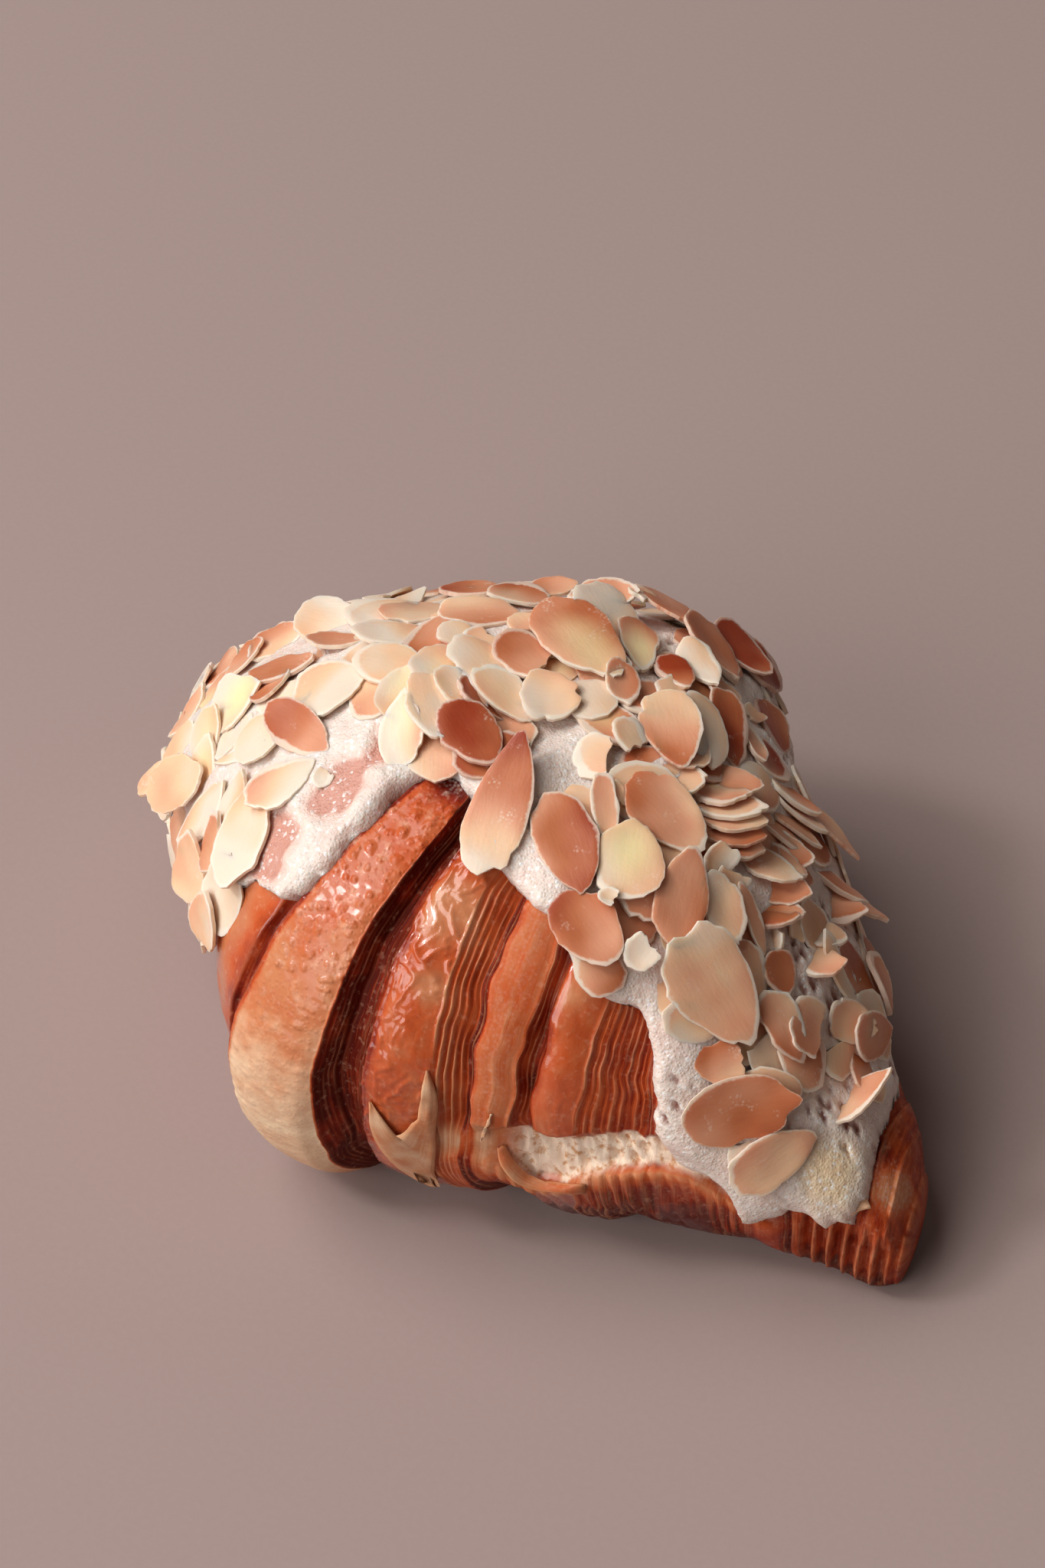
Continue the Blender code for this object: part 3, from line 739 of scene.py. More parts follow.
@dataclass
class Bread:
    """The baked roll: skins of the bands, leaves in the seams, crumb in the split, ribbed horn.

    Attributes:
        row_counts: Rows of mesh in each stretch round the section.
        cap_columns: Columns that round off each end.
        frosted_tip: Pixel zone (across, down, radius) of sugar at the main band's tip.
        browned_tip: Zone of deep brown there.
        glaze_highlight_zones: Zones where the glaze is thickest and glossiest, with a painted highlight
            that makes their colour paler.
        horn_painted_shade: Zone of painted shade on the near horn, where its crust is made deeper in tone.
        frayed: Zones of pale, frayed crust at the split's start.
        cavity_painted_shade: Zone of painted shade in the split's hollow, which deepens its tone.
        last_fold: Zone of the near horn's sugared fold.
        ribs_from: Where the ribs of the near horn's end start.
        rib_pitch: Mm from one to the next.
        rib_depth: Mm between them.
        ribs: Their number.
        crumb_from: Stretch over which the crumb comes into sight.
        lip_from: The same of the lip.
        split_to: The same of the split's other end, with its sign turned.
        seed: Seed of its random fields.
    """

    row_counts: tuple[int, ...] = (4, 26, 9, 7, 52, 9, 12, 6, 12, 8, 4)
    cap_columns: int = 7
    frosted_tip: Zone = (600, 1010, 26)
    browned_tip: Zone = (598, 1015, 34)
    glaze_highlight_zones: tuple[Zone, ...] = ((585, 1190, 44), (745, 1285, 34), (560, 1290, 26))
    horn_painted_shade: Zone = (1185, 1450, 80)
    frayed: tuple[Zone, ...] = ((585, 1490, 22), (625, 1492, 24))
    cavity_painted_shade: Zone = (700, 1516, 16)
    last_fold: Zone = (1170, 1552, 34)
    ribs_from: float = 66.0
    rib_pitch: float = 2.2
    rib_depth: float = 2.0
    ribs: int = 6
    crumb_from: tuple[float, float] = (27, 31)
    lip_from: tuple[float, float] = (23.5, 27.5)
    split_to: tuple[float, float] = (-64, -58)
    seed: int = 5

    def __post_init__(self) -> None:
        """Draw the random fields."""
        self.noise = SmoothNoise(self.seed)
        self.cells = Cells(self.seed + 1)

    def row_angles(self, rows: Array, s: Array) -> Array:
        """Theta of mesh rows at s; the rows near the split follow it.

        Args:
            rows: Row numbers, which may be fractions.
            s: Places along the spine.

        Returns:
            Angles in degrees.
        """
        crumb, lip = curve(RELIEF.crumb_line, s), curve(RELIEF.lip_line, s)
        full = np.ones_like(s)
        stops = [-180 * full, -136 * full, -84 * full, -20 * full, 10 * full, crumb - 6, crumb,
                 lip - 2.0, lip, 120 * full, 136 * full, 180 * full]
        counts = np.concatenate(((0,), np.cumsum(self.row_counts)))
        theta = np.empty_like(s)
        for stretch, (first, last) in enumerate(zip(counts, counts[1:])):
            here = (rows >= first) & (rows <= last)
            share = (rows[here] - first) / (last - first)
            start, end = stops[stretch][here], stops[stretch + 1][here]
            theta[here] = start + (end - start) * share
        return theta

    def places(self, columns: Array, rows: Array) -> tuple[Array, ...]:
        """Where mesh columns and rows lie on the roll.

        Args:
            columns: Column numbers, which may be fractions.
            rows: Row numbers, which may be fractions.

        Returns:
            s, theta, strip coordinate q and share of the way round the closing end.
        """
        far = np.array([self.cap_columns] + [skin.columns for skin in FAR.skins][::-1])
        near = np.array([skin.columns for skin in NEAR.skins] + [self.cap_columns])
        stops = np.concatenate(((0,), np.cumsum(np.concatenate((far, near)))))
        q = np.interp(columns, stops, np.arange(len(stops)) - len(far))
        ends = (len(FAR.skins), len(NEAR.skins))
        cap = np.where(q > 0, held(q - ends[1]), held(-q - ends[0]))
        q = np.clip(q, -ends[0], ends[1])
        s, theta = np.zeros_like(q), self.row_angles(rows, np.zeros_like(q))
        for _ in range(3):
            s = self.along(q, theta)
            theta = self.row_angles(rows, s)
        return s, theta, q, cap

    def along(self, q: Array, theta: Array) -> Array:
        """Place along the spine of strip coordinates q at theta; the seams waver a little."""
        s = np.zeros_like(q)
        for side, sign in ((NEAR, 1.0), (FAR, -1.0)):
            seams = side.seams(theta)
            for strip, (start, end) in enumerate(zip(seams, seams[1:])):
                here = (sign * q > strip) & (sign * q <= strip + 1)
                share = sign * q[here] - strip
                s[here] = sign * (start[here] + (end[here] - start[here]) * share)
        field = rows(0.55 * q, theta / 9.0, np.zeros_like(q))
        waver = self.noise.at(field, 2) * held(np.abs(q) / 0.8)
        room = held((len(NEAR.skins) - 1 - np.abs(q)) / 2.0)
        return s + 0.42 * waver * room

    def leaf_relief(self, q: Array, theta: Array) -> Looks:
        """Relief and looks of each strip, before what is particular to a place.

        Args:
            q: Strip coordinates.
            theta: Angles round the section.

        Returns:
            Arrays of height, tone, gloss, edge, the recess mask for painted shade and fine lines, wrinkle,
            blister and fibre.
        """
        keys = ("height", "tone", "gloss", "edge", "recess_shade_and_lines", "wrinkle", "blister", "fibre")
        looks = {key: np.zeros_like(q) for key in keys}
        for side, sign in ((NEAR, 1.0), (FAR, -1.0)):
            for strip, skin in enumerate(side.skins):
                here = (sign * q >= strip) & (sign * q <= strip + 1)
                share = sign * q[here] - strip
                for key in ("tone", "gloss", "wrinkle", "blister", "fibre"):
                    looks[key][here] = getattr(skin, key)
                # A crown is deeper in tone and more strandy where it rises from the floor before it; the
                # deeper tone is partly painted shade of the recess.
                if skin.kind is Strip.CROWN and strip:
                    near_floor = 1.0 - step_up(share, 0.0, 0.22)
                    looks["tone"][here] += 0.22 * near_floor
                    looks["fibre"][here] += 0.5 * near_floor
                # Painted shade: each face and floor gets a recess mask, strongest at the foot, that
                # deepens the colour a little and also places fine lines there.
                if skin.kind is Strip.FACE:
                    looks["recess_shade_and_lines"][here] = step_up(share, -0.3, 0.9)
                if skin.kind is Strip.FLOOR:
                    looks["recess_shade_and_lines"][here] = 1.0 - 0.6 * step_up(share, 0.3, 1.1)
                if skin.leaves:
                    count = share * skin.leaves
                    leaf, part = np.floor(count), count - np.floor(count)
                    field = rows(leaf + 7.7 * strip * sign, theta[here] / 11.0, leaf)
                    size = np.clip(0.75 + 0.9 * self.noise.at(field, 2), 0.1, 1.5)
                    rise = size * held(1.0 - part) ** 1.3
                    looks["height"][here] = skin.relief * (rise - 0.4 * size)
                    looks["edge"][here] = skin.pale * np.exp(-((part / 0.3) ** 2)) * held(size)
        return looks

    def build(self) -> Mesh:
        """Make the roll's mesh with its looks as attributes."""
        columns = sum(skin.columns for skin in NEAR.skins + FAR.skins) + 2 * self.cap_columns
        bm = grid(columns, sum(self.row_counts))
        middle = self.cap_columns + sum(skin.columns for skin in FAR.skins)
        front, low = sum(self.row_counts[:4]), sum(self.row_counts[:7])
        crowns = [sum(skin.columns for skin in NEAR.skins[:strip]) for strip in (1, 3, 4)]
        refine(bm, middle - crowns[0], middle + crowns[0], front, low + 16, 3)
        refine(bm, middle + crowns[1], middle + crowns[2], front, low, 2)
        flat = coordinates(bm)
        s, theta, q, cap = self.places(flat[:, 0], flat[:, 1])
        looks = self.leaf_relief(q, theta)
        for key in ("fibre", "edge", "recess_shade_and_lines"):
            looks[key] *= 1.0 - cap
        share = straight(RELIEF.share, np.abs(theta)) * (1.0 - RELIEF.inside_split(s, theta))
        depth = RELIEF.dough_depth(s, theta, q) - looks["height"] * share
        arc = theta * ROLL.girth(s)
        depth -= self.skin_relief(s, arc, theta, q, looks) * share
        self.split_looks(s, arc, theta, looks)
        depth -= self.split_relief(s, arc, theta, looks)
        depth += self.rib_grooves(s, theta, looks)
        points = ROLL.point(s, theta, depth, cap)
        self.shade_bands(points, s, theta, q, looks)
        stored = {key: looks[key] for key in CRUST_LOOKS[:-1]}
        seams = np.interp(q, np.arange(-len(FAR.skins), len(NEAR.skins) + 1), self.nominal_seams())
        stored["leaf"] = rows(seams, 0.8 * theta, np.floor(q))
        mesh = mesh_from(bm, "baked_dough", points, stored)
        turn_out(mesh, weld=True)
        return mesh

    def nominal_seams(self) -> Array:
        """Places of the seams at the waist, from the far end to the near end."""
        waist = np.array([90.0])
        far = [-seam[0] for seam in FAR.seams(waist)][:0:-1]
        return np.array(far + [seam[0] for seam in NEAR.seams(waist)])

    def skin_relief(self, s: Array, arc: Array, theta: Array, q: Array, looks: Looks) -> Array:
        """Height of blisters, crinkled glaze, long streaks and general unevenness.

        Args:
            s: Places along the spine.
            arc: Places round the section, in mm.
            theta: Angles round the section.
            q: Strip coordinates.
            looks: The strips' looks.

        Returns:
            Heights in mm.
        """
        height = np.zeros_like(s)
        looks["blister"] *= straight(((45, 1), (75, 0.5), (105, 0.25)), np.abs(theta))
        for size, rise, keep in ((2.6, 1.3, 0.45), (1.5, 0.8, 0.55)):
            distance, value = self.cells.nearest(s / size, arc / size)
            radius = 0.18 + 0.5 * value
            dome = held(1.0 - (distance / radius) ** 2) ** 0.7
            height += looks["blister"] * rise * dome * (value < keep)
        place = rows(s, arc, np.zeros_like(s))
        warp = rows(self.noise.at(place / 4.0), self.noise.at(place / 4.0 + 9.0), 0 * s)
        folds = place / (1.9, 3, 1) + 0.9 * warp
        crinkle = held(1.0 - np.abs(self.noise.at(folds + 5.0)) * 3.4)
        crinkle += 0.6 * held(1.0 - np.abs(self.noise.at(folds * 1.9 + 31.0)) * 3.0)
        patches = np.clip(0.55 + 1.2 * self.noise.at(place / 11.0 + 3.0), 0.15, 1.0)
        height += looks["wrinkle"] * crinkle * patches
        streak = rows(q * 9.0, theta / 16.0, np.zeros_like(s))
        height += 0.08 * looks["fibre"] * self.noise.at(streak, 2)
        height += 0.35 * self.noise.at(place / 9.0, 2)
        height += 0.06 * self.noise.at(place / 0.9)
        return height

    def split_looks(self, s: Array, arc: Array, theta: Array, looks: Looks) -> None:
        """Work out where the pale crumb shows and how the crust is toasted near it."""
        crumb, lip = curve(RELIEF.crumb_line, s), curve(RELIEF.lip_line, s)
        place = rows(s, arc, np.zeros_like(s))
        ragged = 1.3 * self.noise.at(place / 2.0, 2)
        opened = step_up(s, *self.crumb_from) * step_up(-s, *self.split_to)
        top = held((theta - (crumb - 1.2 + ragged)) / 1.2)
        bottom = held((lip - 0.6 + 0.6 * ragged - theta) / 1.2)
        looks["crumb"] = opened * top * bottom
        ribbed = step_up(s, *self.lip_from) * step_up(-s, *self.split_to)
        looks["lip"] = ribbed * step_up(theta, 0.0, 1.0) * held((theta - lip + 1.5) / 1.5)
        looks["rim"] = 1.0 - held((theta - lip - 1.5) / 3.0)
        looks["below"] = held((theta - lip) / 16.0)
        looks["sugar"] = np.zeros_like(s)

    def split_relief(self, s: Array, arc: Array, theta: Array, looks: Looks) -> Array:
        """Height of the open crumb's holes, the lip's wavy edge and the ribs of its outer face."""
        distance, value = self.cells.nearest(s / 2.6 + 40.0, arc / 2.0)
        holes = held(1.0 - distance / 0.5) * (0.4 + value)
        place = rows(s, arc, np.full_like(s, 3.0))
        rough = self.noise.at(place / 1.2, 2)
        height = looks["crumb"] * (0.35 * rough - 1.5 * holes)
        lip = curve(RELIEF.lip_line, s)
        edge = np.exp(-(((theta - lip - 1.0) / 2.5) ** 2)) * looks["lip"]
        height += edge * (0.5 + 0.5 * self.noise.at(place / 5.0))
        wave = (s - 0.10 * (theta - lip)) / 1.7 + 0.35 * self.noise.at(place / 5.0, 2)
        fade = held((134.0 - theta) / 10.0)
        rib = np.abs(np.sin(math.pi * wave)) * looks["lip"] * fade
        # The ribs' crests are paler near the lip's edge; lower down the recess mask puts painted shade
        # between the ribs.
        looks["edge"] = np.maximum(looks["edge"], 0.5 * rib**3 * (1.0 - looks["below"]))
        looks["recess_shade_and_lines"] = np.maximum(looks["recess_shade_and_lines"], 0.8 * (looks["lip"] - rib) * looks["below"])
        height += 0.45 * (rib - 0.6 * looks["lip"] * fade)
        return height

    def rib_grooves(self, s: Array, theta: Array, looks: Looks) -> Array:
        """Depth of the grooves between the leaves that show edge-on at the near horn's end."""
        count = (s - self.ribs_from) / self.rib_pitch
        down = straight(((56, 0), (78, 1), (112, 1), (136, 0)), theta)
        inside = (count >= 0.0) & (count <= self.ribs)
        groove = np.where(inside, 1.0 - np.abs(np.sin(math.pi * (count + 0.5))) ** 3, 0.0) * down
        # The crests take a pale leaf-edge colour, partly a painted highlight; the recess mask puts painted
        # shade in the grooves.
        looks["edge"] = np.maximum(looks["edge"], np.where(inside, (1.0 - groove) * down * 0.45, 0.0))
        looks["recess_shade_and_lines"] = np.maximum(looks["recess_shade_and_lines"], groove)
        return self.rib_depth * groove

    def shade_bands(self, points: Array, s: Array, theta: Array, q: Array, looks: Looks) -> None:
        """Set what the oven and the cream did in particular places; paint highlights on the glaze and
        shade on the horn and hollow.
        """
        across, down = VIEW.pixels(points)
        front = step_up(theta, -5.0, 5.0)
        main = (np.abs(q) < 1.0) * front
        paler = straight(((20, 0.64), (45, 0.50), (70, 0.35), (95, 0.05), (118, 0.18), (136, 0.55)), theta)
        looks["gloss"] += main * straight(((30, 0.55), (75, 0.40), (95, 0.25), (120, 0.1)), theta)
        looks["tone"] = looks["tone"] * (1 - main) + paler * main
        looks["sugar"] = 0.9 * front * around(across, down, self.frosted_tip)
        looks["tone"] += 0.4 * front * around(across, down, self.browned_tip)
        ridge = np.exp(-(((q + 0.93) / 0.07) ** 2)) * front
        looks["tone"] += 0.35 * ridge
        lip = 0.70 + 0.32 * looks["below"] - 0.30 * looks["rim"]
        looks["tone"] += looks["lip"] * (lip - looks["tone"]) + 0.1 * step_up(np.abs(s), 55.0, 75.0)
        looks["tone"] += 0.2 * straight(((100, 0), (130, 1)), np.abs(theta)) * (1 - main)
        # Painted highlight on the glaze: these zones get more gloss and a paler colour.
        for zone in self.glaze_highlight_zones:
            looks["gloss"] += 0.5 * front * around(across, down, zone)
            looks["tone"] -= 0.22 * front * around(across, down, zone)
        # Painted shade on the near horn.
        looks["tone"] += 0.3 * front * around(across, down, self.horn_painted_shade)
        frayed = sum(around(across, down, zone) for zone in self.frayed)
        looks["tone"] -= 0.35 * front * frayed
        # Painted shade in the split's hollow.
        looks["tone"] += 0.4 * front * around(across, down, self.cavity_painted_shade)
        matt = np.exp(-(((q - 6.45) / 0.45) ** 2)) * front
        looks["sugar"] += 0.18 * matt
        fold = front * around(across, down, self.last_fold)
        looks["tone"] -= 0.4 * fold
        looks["sugar"] += 0.5 * fold


# ---- shader nodes


class Wiring:
    """A hand for placing and joining shader nodes in one tree."""

    def __init__(self, tree: bpy.types.NodeTree) -> None:
        """Work in the given tree."""
        self.tree = tree

    def node(self, kind: str, inputs: dict[str | int, Any] | None = None,
             **settings: Any) -> bpy.types.Node:
        """Add a node.

        Args:
            kind: Blender's name of the node type.
            inputs: Values or sockets for its inputs.
            settings: Its own properties.

        Returns:
            The node.
        """
        node = self.tree.nodes.new(kind)
        for key, value in settings.items():
            setattr(node, key, value)
        for key, value in (inputs or {}).items():
            self.feed(node.inputs[key], value)
        return node

    def feed(self, socket: Socket, value: Any) -> None:
        """Link a socket to the input, or set it as the input's value."""
        if isinstance(value, Socket):
            self.tree.links.new(value, socket)
        elif isinstance(value, tuple) and len(value) == 3 and socket.type == "RGBA":
            socket.default_value = (*value, 1.0)
        else:
            socket.default_value = value

    def attribute(self, name: str, output: str = "Fac") -> Socket:
        """A value or a vector stored on the mesh."""
        return self.node("ShaderNodeAttribute", attribute_name=name).outputs[output]

    def place(self) -> Socket:
        """The object's own coordinates."""
        return self.node("ShaderNodeTexCoord").outputs["Object"]

    def math(self, operation: str, a: Any, b: Any = 0.0, clamp: bool = False) -> Socket:
        """The result of a sum on two values."""
        return self.node("ShaderNodeMath", {0: a, 1: b}, operation=operation, use_clamp=clamp).outputs[0]

    def times(self, a: Any, b: Any) -> Socket:
        """Two values multiplied."""
        return self.math("MULTIPLY", a, b)

    def plus(self, a: Any, b: Any) -> Socket:
        """Two values added."""
        return self.math("ADD", a, b)

    def mix(self, factor: Any, a: Any, b: Any, blend: str = "MIX") -> Socket:
        """A mix of two colours."""
        node = self.node("ShaderNodeMix", {0: factor, 6: a, 7: b}, data_type="RGBA", blend_type=blend)
        return node.outputs[2]

    def remap(self, value: Any, low: float, high: float, to_low: float = 0.0,
              to_high: float = 1.0) -> Socket:
        """A value moved from one range to another and held within it."""
        inputs = {"Value": value, "From Min": low, "From Max": high, "To Min": to_low, "To Max": to_high}
        return self.node("ShaderNodeMapRange", inputs).outputs["Result"]

    def ramp(self, value: Any, stops: tuple[tuple[float, Colour], ...]) -> Socket:
        """A colour read from stops along a value."""
        node = self.node("ShaderNodeValToRGB", {"Fac": value})
        elements = node.color_ramp.elements
        while len(elements) < len(stops):
            elements.new(0.5)
        for element, (position, colour) in zip(elements, stops):
            element.position = position
            element.color = (*colour, 1.0)
        return node.outputs["Color"]

    def noise(self, vector: Any, scale: float, detail: float = 2.0, roughness: float = 0.5,
              distortion: float = 0.0) -> Socket:
        """Smooth noise from 0 to 1."""
        inputs = {"Vector": vector, "Scale": scale, "Detail": detail, "Roughness": roughness,
                  "Distortion": distortion}
        return self.node("ShaderNodeTexNoise", inputs).outputs["Fac"]

    def cells(self, vector: Any, scale: float, feature: str = "F1", output: str = "Distance") -> Socket:
        """Distance to, or colour of, scattered spots."""
        inputs = {"Vector": vector, "Scale": scale}
        return self.node("ShaderNodeTexVoronoi", inputs, feature=feature).outputs[output]

    def grain(self, group: bpy.types.NodeTree, scale: float) -> bpy.types.bpy_prop_collection:
        """The outputs of the shared sugar grain, at a scale on the object's own coordinates."""
        node = self.node("ShaderNodeGroup", node_tree=group)
        self.feed(node.inputs["Place"], self.place())
        node.inputs["Scale"].default_value = scale
        return node.outputs

    def stretch(self, vector: Any, scale: tuple[float, float, float]) -> Socket:
        """A vector with each part scaled by its own factor."""
        return self.node("ShaderNodeMapping", {"Vector": vector, "Scale": scale}).outputs["Vector"]

    def bump(self, height: Any, distance: float, strength: float = 1.0, normal: Any = None) -> Socket:
        """A normal tilted by a height (distance in metres for each unit of height)."""
        inputs = {"Strength": strength, "Distance": distance, "Height": height}
        if normal is not None:
            inputs["Normal"] = normal
        return self.node("ShaderNodeBump", inputs).outputs["Normal"]


def srgb(red: float, green: float, blue: float) -> Colour:
    """A colour given as on a screen, 0 to 255, turned into light."""
    parts = [value / 255.0 for value in (red, green, blue)]
    return tuple(p / 12.92 if p <= 0.04045 else ((p + 0.055) / 1.055) ** 2.4 for p in parts)


def sugar_grain_group() -> bpy.types.NodeTree:
    """The fine grain of sugar and ground almond that cream, crust and flakes share.

    Returns:
        A group that takes a place and a scale, and gives a soft grain, sharp crystals and specks.
    """
    group = bpy.data.node_groups.new("sugar_grain", "ShaderNodeTree")
    face = group.interface
    face.new_socket("Place", in_out="INPUT", socket_type="NodeSocketVector")
    scale = face.new_socket("Scale", in_out="INPUT", socket_type="NodeSocketFloat")
    scale.default_value = 1000.0
    for name in ("Grain", "Crystals", "Specks"):
        face.new_socket(name, in_out="OUTPUT", socket_type="NodeSocketFloat")
    wiring = Wiring(group)
    given = wiring.node("NodeGroupInput")
    result = wiring.node("NodeGroupOutput")
    noise = wiring.node("ShaderNodeTexNoise", {"Vector": given.outputs["Place"], "Detail": 4.0,
                                               "Roughness": 0.62, "Scale": given.outputs["Scale"]})
    spots = wiring.node("ShaderNodeTexVoronoi", {"Vector": given.outputs["Place"],
                                                 "Scale": given.outputs["Scale"]}, feature="F1")
    parts = wiring.node("ShaderNodeSeparateColor", {"Color": spots.outputs["Color"]})
    wiring.feed(result.inputs["Grain"], noise.outputs["Fac"])
    wiring.feed(result.inputs["Crystals"], wiring.remap(spots.outputs["Distance"], 0.55, 0.0))
    wiring.feed(result.inputs["Specks"], wiring.remap(parts.outputs["Red"], 0.86, 0.97))
    return group


def set_inputs(shader: bpy.types.Node, values: dict[str, Any]) -> None:
    """Set a shader's constant inputs by name."""
    for name, value in values.items():
        shader.inputs[name].default_value = value


def new_material(name: str) -> tuple[bpy.types.Material, Wiring, bpy.types.Node]:
    """A material with its wiring and its Principled shader."""
    material = bpy.data.materials.new(name)
    material.use_nodes = True
    tree = material.node_tree
    return material, Wiring(tree), tree.nodes["Principled BSDF"]


@dataclass(frozen=True)
class CrustFinish:
    """Finish of the baked dough: skin with an egg glaze, deep-toned seams with a little painted shade,
    pale leaf edges, and open crumb with painted shade in its holes.
    """

    name: str = "baked_crust"
    palest: Colour = srgb(238, 206, 170)
    gold: Colour = srgb(198, 124, 83)
    orange: Colour = srgb(192, 84, 40)
    brown: Colour = srgb(138, 38, 16)
    darkest: Colour = srgb(88, 20, 10)
    leaf_edge: Colour = srgb(224, 162, 118)
    crumb: Colour = srgb(244, 220, 196)
    crumb_hole_shade: Colour = srgb(206, 154, 112)
    sugar: Colour = srgb(206, 178, 168)
    blister: Colour = srgb(236, 186, 152)

    def make(self, grain: bpy.types.NodeTree) -> bpy.types.Material:
        """Build the material.

        Args:
            grain: The shared sugar grain.

        Returns:
            The material.
        """
        material, wiring, shader = new_material(self.name)
        place, leaf = wiring.place(), wiring.attribute("leaf", "Vector")
        mottle = wiring.noise(place, 160.0, 4.0, 0.6)
        fine = wiring.noise(place, 900.0, 3.0, 0.6)
        streak = wiring.noise(wiring.stretch(leaf, (2.2, 0.07, 1)), 1.0, 3.0, 0.6)
        hair = wiring.noise(wiring.stretch(leaf, (4.2, 0.12, 1)), 1.0, 2.0, 0.55, 0.3)
        fibre, recess_shade_and_lines = wiring.attribute("fibre"), wiring.attribute("recess_shade_and_lines")
        tone = wiring.plus(wiring.attribute("tone"), wiring.remap(mottle, 0.3, 0.7, -0.10, 0.10))
        streaks = wiring.times(wiring.remap(streak, 0.3, 0.7, -0.14, 0.14), fibre)
        tone = wiring.plus(tone, streaks)
        # Painted shade: the recess mask deepens the tone a little in seams and grooves.
        tone = wiring.plus(tone, wiring.times(recess_shade_and_lines, 0.05))
        stops = ((0.0, self.palest), (0.36, self.gold), (0.62, self.orange), (0.86, self.brown),
                 (1.0, self.darkest))
        colour = wiring.ramp(tone, stops)
        colour = wiring.mix(wiring.remap(fine, 0.56, 0.74, 0.0, 0.22), colour, self.blister)
        bubbly = wiring.remap(wiring.noise(place, 380.0, 3.0, 0.6), 0.54, 0.74)
        bubbly = wiring.times(bubbly, wiring.times(wiring.attribute("blister"), 1.6))
        colour = wiring.mix(bubbly, colour, self.blister)
        edge = wiring.times(wiring.attribute("edge"), wiring.remap(hair, 0.30, 0.55))
        colour = wiring.mix(wiring.times(edge, 0.8), colour, self.leaf_edge)
        lines = wiring.times(wiring.remap(hair, 0.56, 0.72), recess_shade_and_lines)
        colour = wiring.mix(wiring.times(lines, 0.35), colour, self.orange)
        crumb = wiring.attribute("crumb")
        # Painted shade in the crumb's holes: noise spots take a deeper tan.
        pores = wiring.noise(place, 700.0, 3.0, 0.6)
        crumb_colour = wiring.mix(wiring.remap(pores, 0.50, 0.66), self.crumb, self.crumb_hole_shade)
        colour = wiring.mix(crumb, colour, crumb_colour)
        crystals = wiring.grain(grain, 1500.0)["Crystals"]
        dust = wiring.times(wiring.attribute("sugar"), crystals)
        colour = wiring.mix(dust, colour, self.sugar)
        wiring.feed(shader.inputs["Base Color"], colour)
        gloss = wiring.times(wiring.attribute("gloss"), wiring.math("SUBTRACT", 1.0, crumb))
        patchy = wiring.remap(wiring.noise(place, 240.0, 2.0), 0.35, 0.6, 0.55, 1.0)
        gloss = wiring.times(gloss, patchy)
        wiring.feed(shader.inputs["Roughness"], wiring.remap(gloss, 0.0, 1.0, 0.58, 0.20))
        wiring.feed(shader.inputs["Coat Weight"], wiring.remap(gloss, 0.3, 1.0, 0.0, 0.9))
        wiring.feed(shader.inputs["Specular IOR Level"], wiring.remap(gloss, 0.2, 1.0, 0.06, 0.3))
        set_inputs(shader, {"Coat Roughness": 0.09, "Subsurface Weight": 0.12,
                            "Subsurface Radius": (1, 0.45, 0.22), "Subsurface Scale": 0.0015})
        strands = wiring.times(wiring.times(hair, fibre), 0.5)
        height = wiring.plus(strands, wiring.times(fine, 0.35))
        bubbles = wiring.remap(wiring.cells(place, 1150.0), 0.45, 0.0)
        bubbles = wiring.times(bubbles, wiring.times(wiring.attribute("blister"), 2.0))
        height = wiring.plus(height, bubbles)
        wiring.feed(shader.inputs["Normal"], wiring.bump(height, 0.0003, 0.7))
        return material


@dataclass(frozen=True)
class CreamFinish:
    """Finish of the almond cream: pale, grainy and sparkling, pinkish grey where it is thin."""

    name: str = "almond_cream"
    white: Colour = srgb(231, 219, 208)
    beige: Colour = srgb(233, 209, 196)
    thin: Colour = srgb(234, 204, 190)
    rust: Colour = srgb(190, 104, 76)
    pore: Colour = srgb(150, 88, 70)
    wet: Colour = srgb(232, 200, 150)
    crystal: Colour = srgb(255, 253, 250)

    def make(self, grain: bpy.types.NodeTree) -> bpy.types.Material:
        """Build the material.

        Args:
            grain: The shared sugar grain.

        Returns:
            The material.
        """
        material, wiring, shader = new_material(self.name)
        place = wiring.place()
        sugar = wiring.grain(grain, 1900.0)
        soft = wiring.noise(place, 130.0, 4.0, 0.6)
        colour = wiring.mix(wiring.remap(soft, 0.38, 0.66), self.white, self.beige)
        grainy = wiring.remap(sugar["Grain"], 0.42, 0.65)
        colour = wiring.mix(wiring.times(grainy, 0.25), colour, self.beige)
        ragged = wiring.plus(wiring.noise(place, 300.0, 5.0, 0.7), -0.98)
        worn = wiring.plus(wiring.times(wiring.attribute("thin"), 1.5), ragged)
        colour = wiring.mix(wiring.remap(worn, -0.25, 0.35), colour, self.thin)
        spots = wiring.times(wiring.remap(worn, 0.44, 0.85), 0.65)
        colour = wiring.mix(spots, colour, self.rust)
        # Painted shade in the cream's pores: the dents take a deeper brownish colour.
        colour = wiring.mix(wiring.attribute("pore"), colour, self.pore)
        colour = wiring.mix(wiring.times(wiring.attribute("wet"), 0.7), colour, self.wet)
        specks = sugar["Specks"]
        colour = wiring.mix(wiring.times(specks, 0.6), colour, self.crystal)
        wiring.feed(shader.inputs["Base Color"], colour)
        wiring.feed(shader.inputs["Roughness"], wiring.remap(specks, 0.0, 1.0, 0.42, 0.12))
        set_inputs(shader, {"Subsurface Weight": 0.5, "Subsurface Radius": (1, 0.7, 0.5),
                            "Subsurface Scale": 0.0018})
        height = wiring.plus(wiring.times(sugar["Grain"], 0.8), wiring.times(sugar["Crystals"], 0.6))
        crumbs = wiring.plus(wiring.remap(wiring.cells(place, 620.0), 0.6, 0.1),
                             wiring.noise(place, 480.0, 3.0, 0.6))
        coarse = wiring.bump(crumbs, 0.0006, 0.22)
        wiring.feed(shader.inputs["Normal"], wiring.bump(height, 0.0003, 0.65, coarse))
        return material


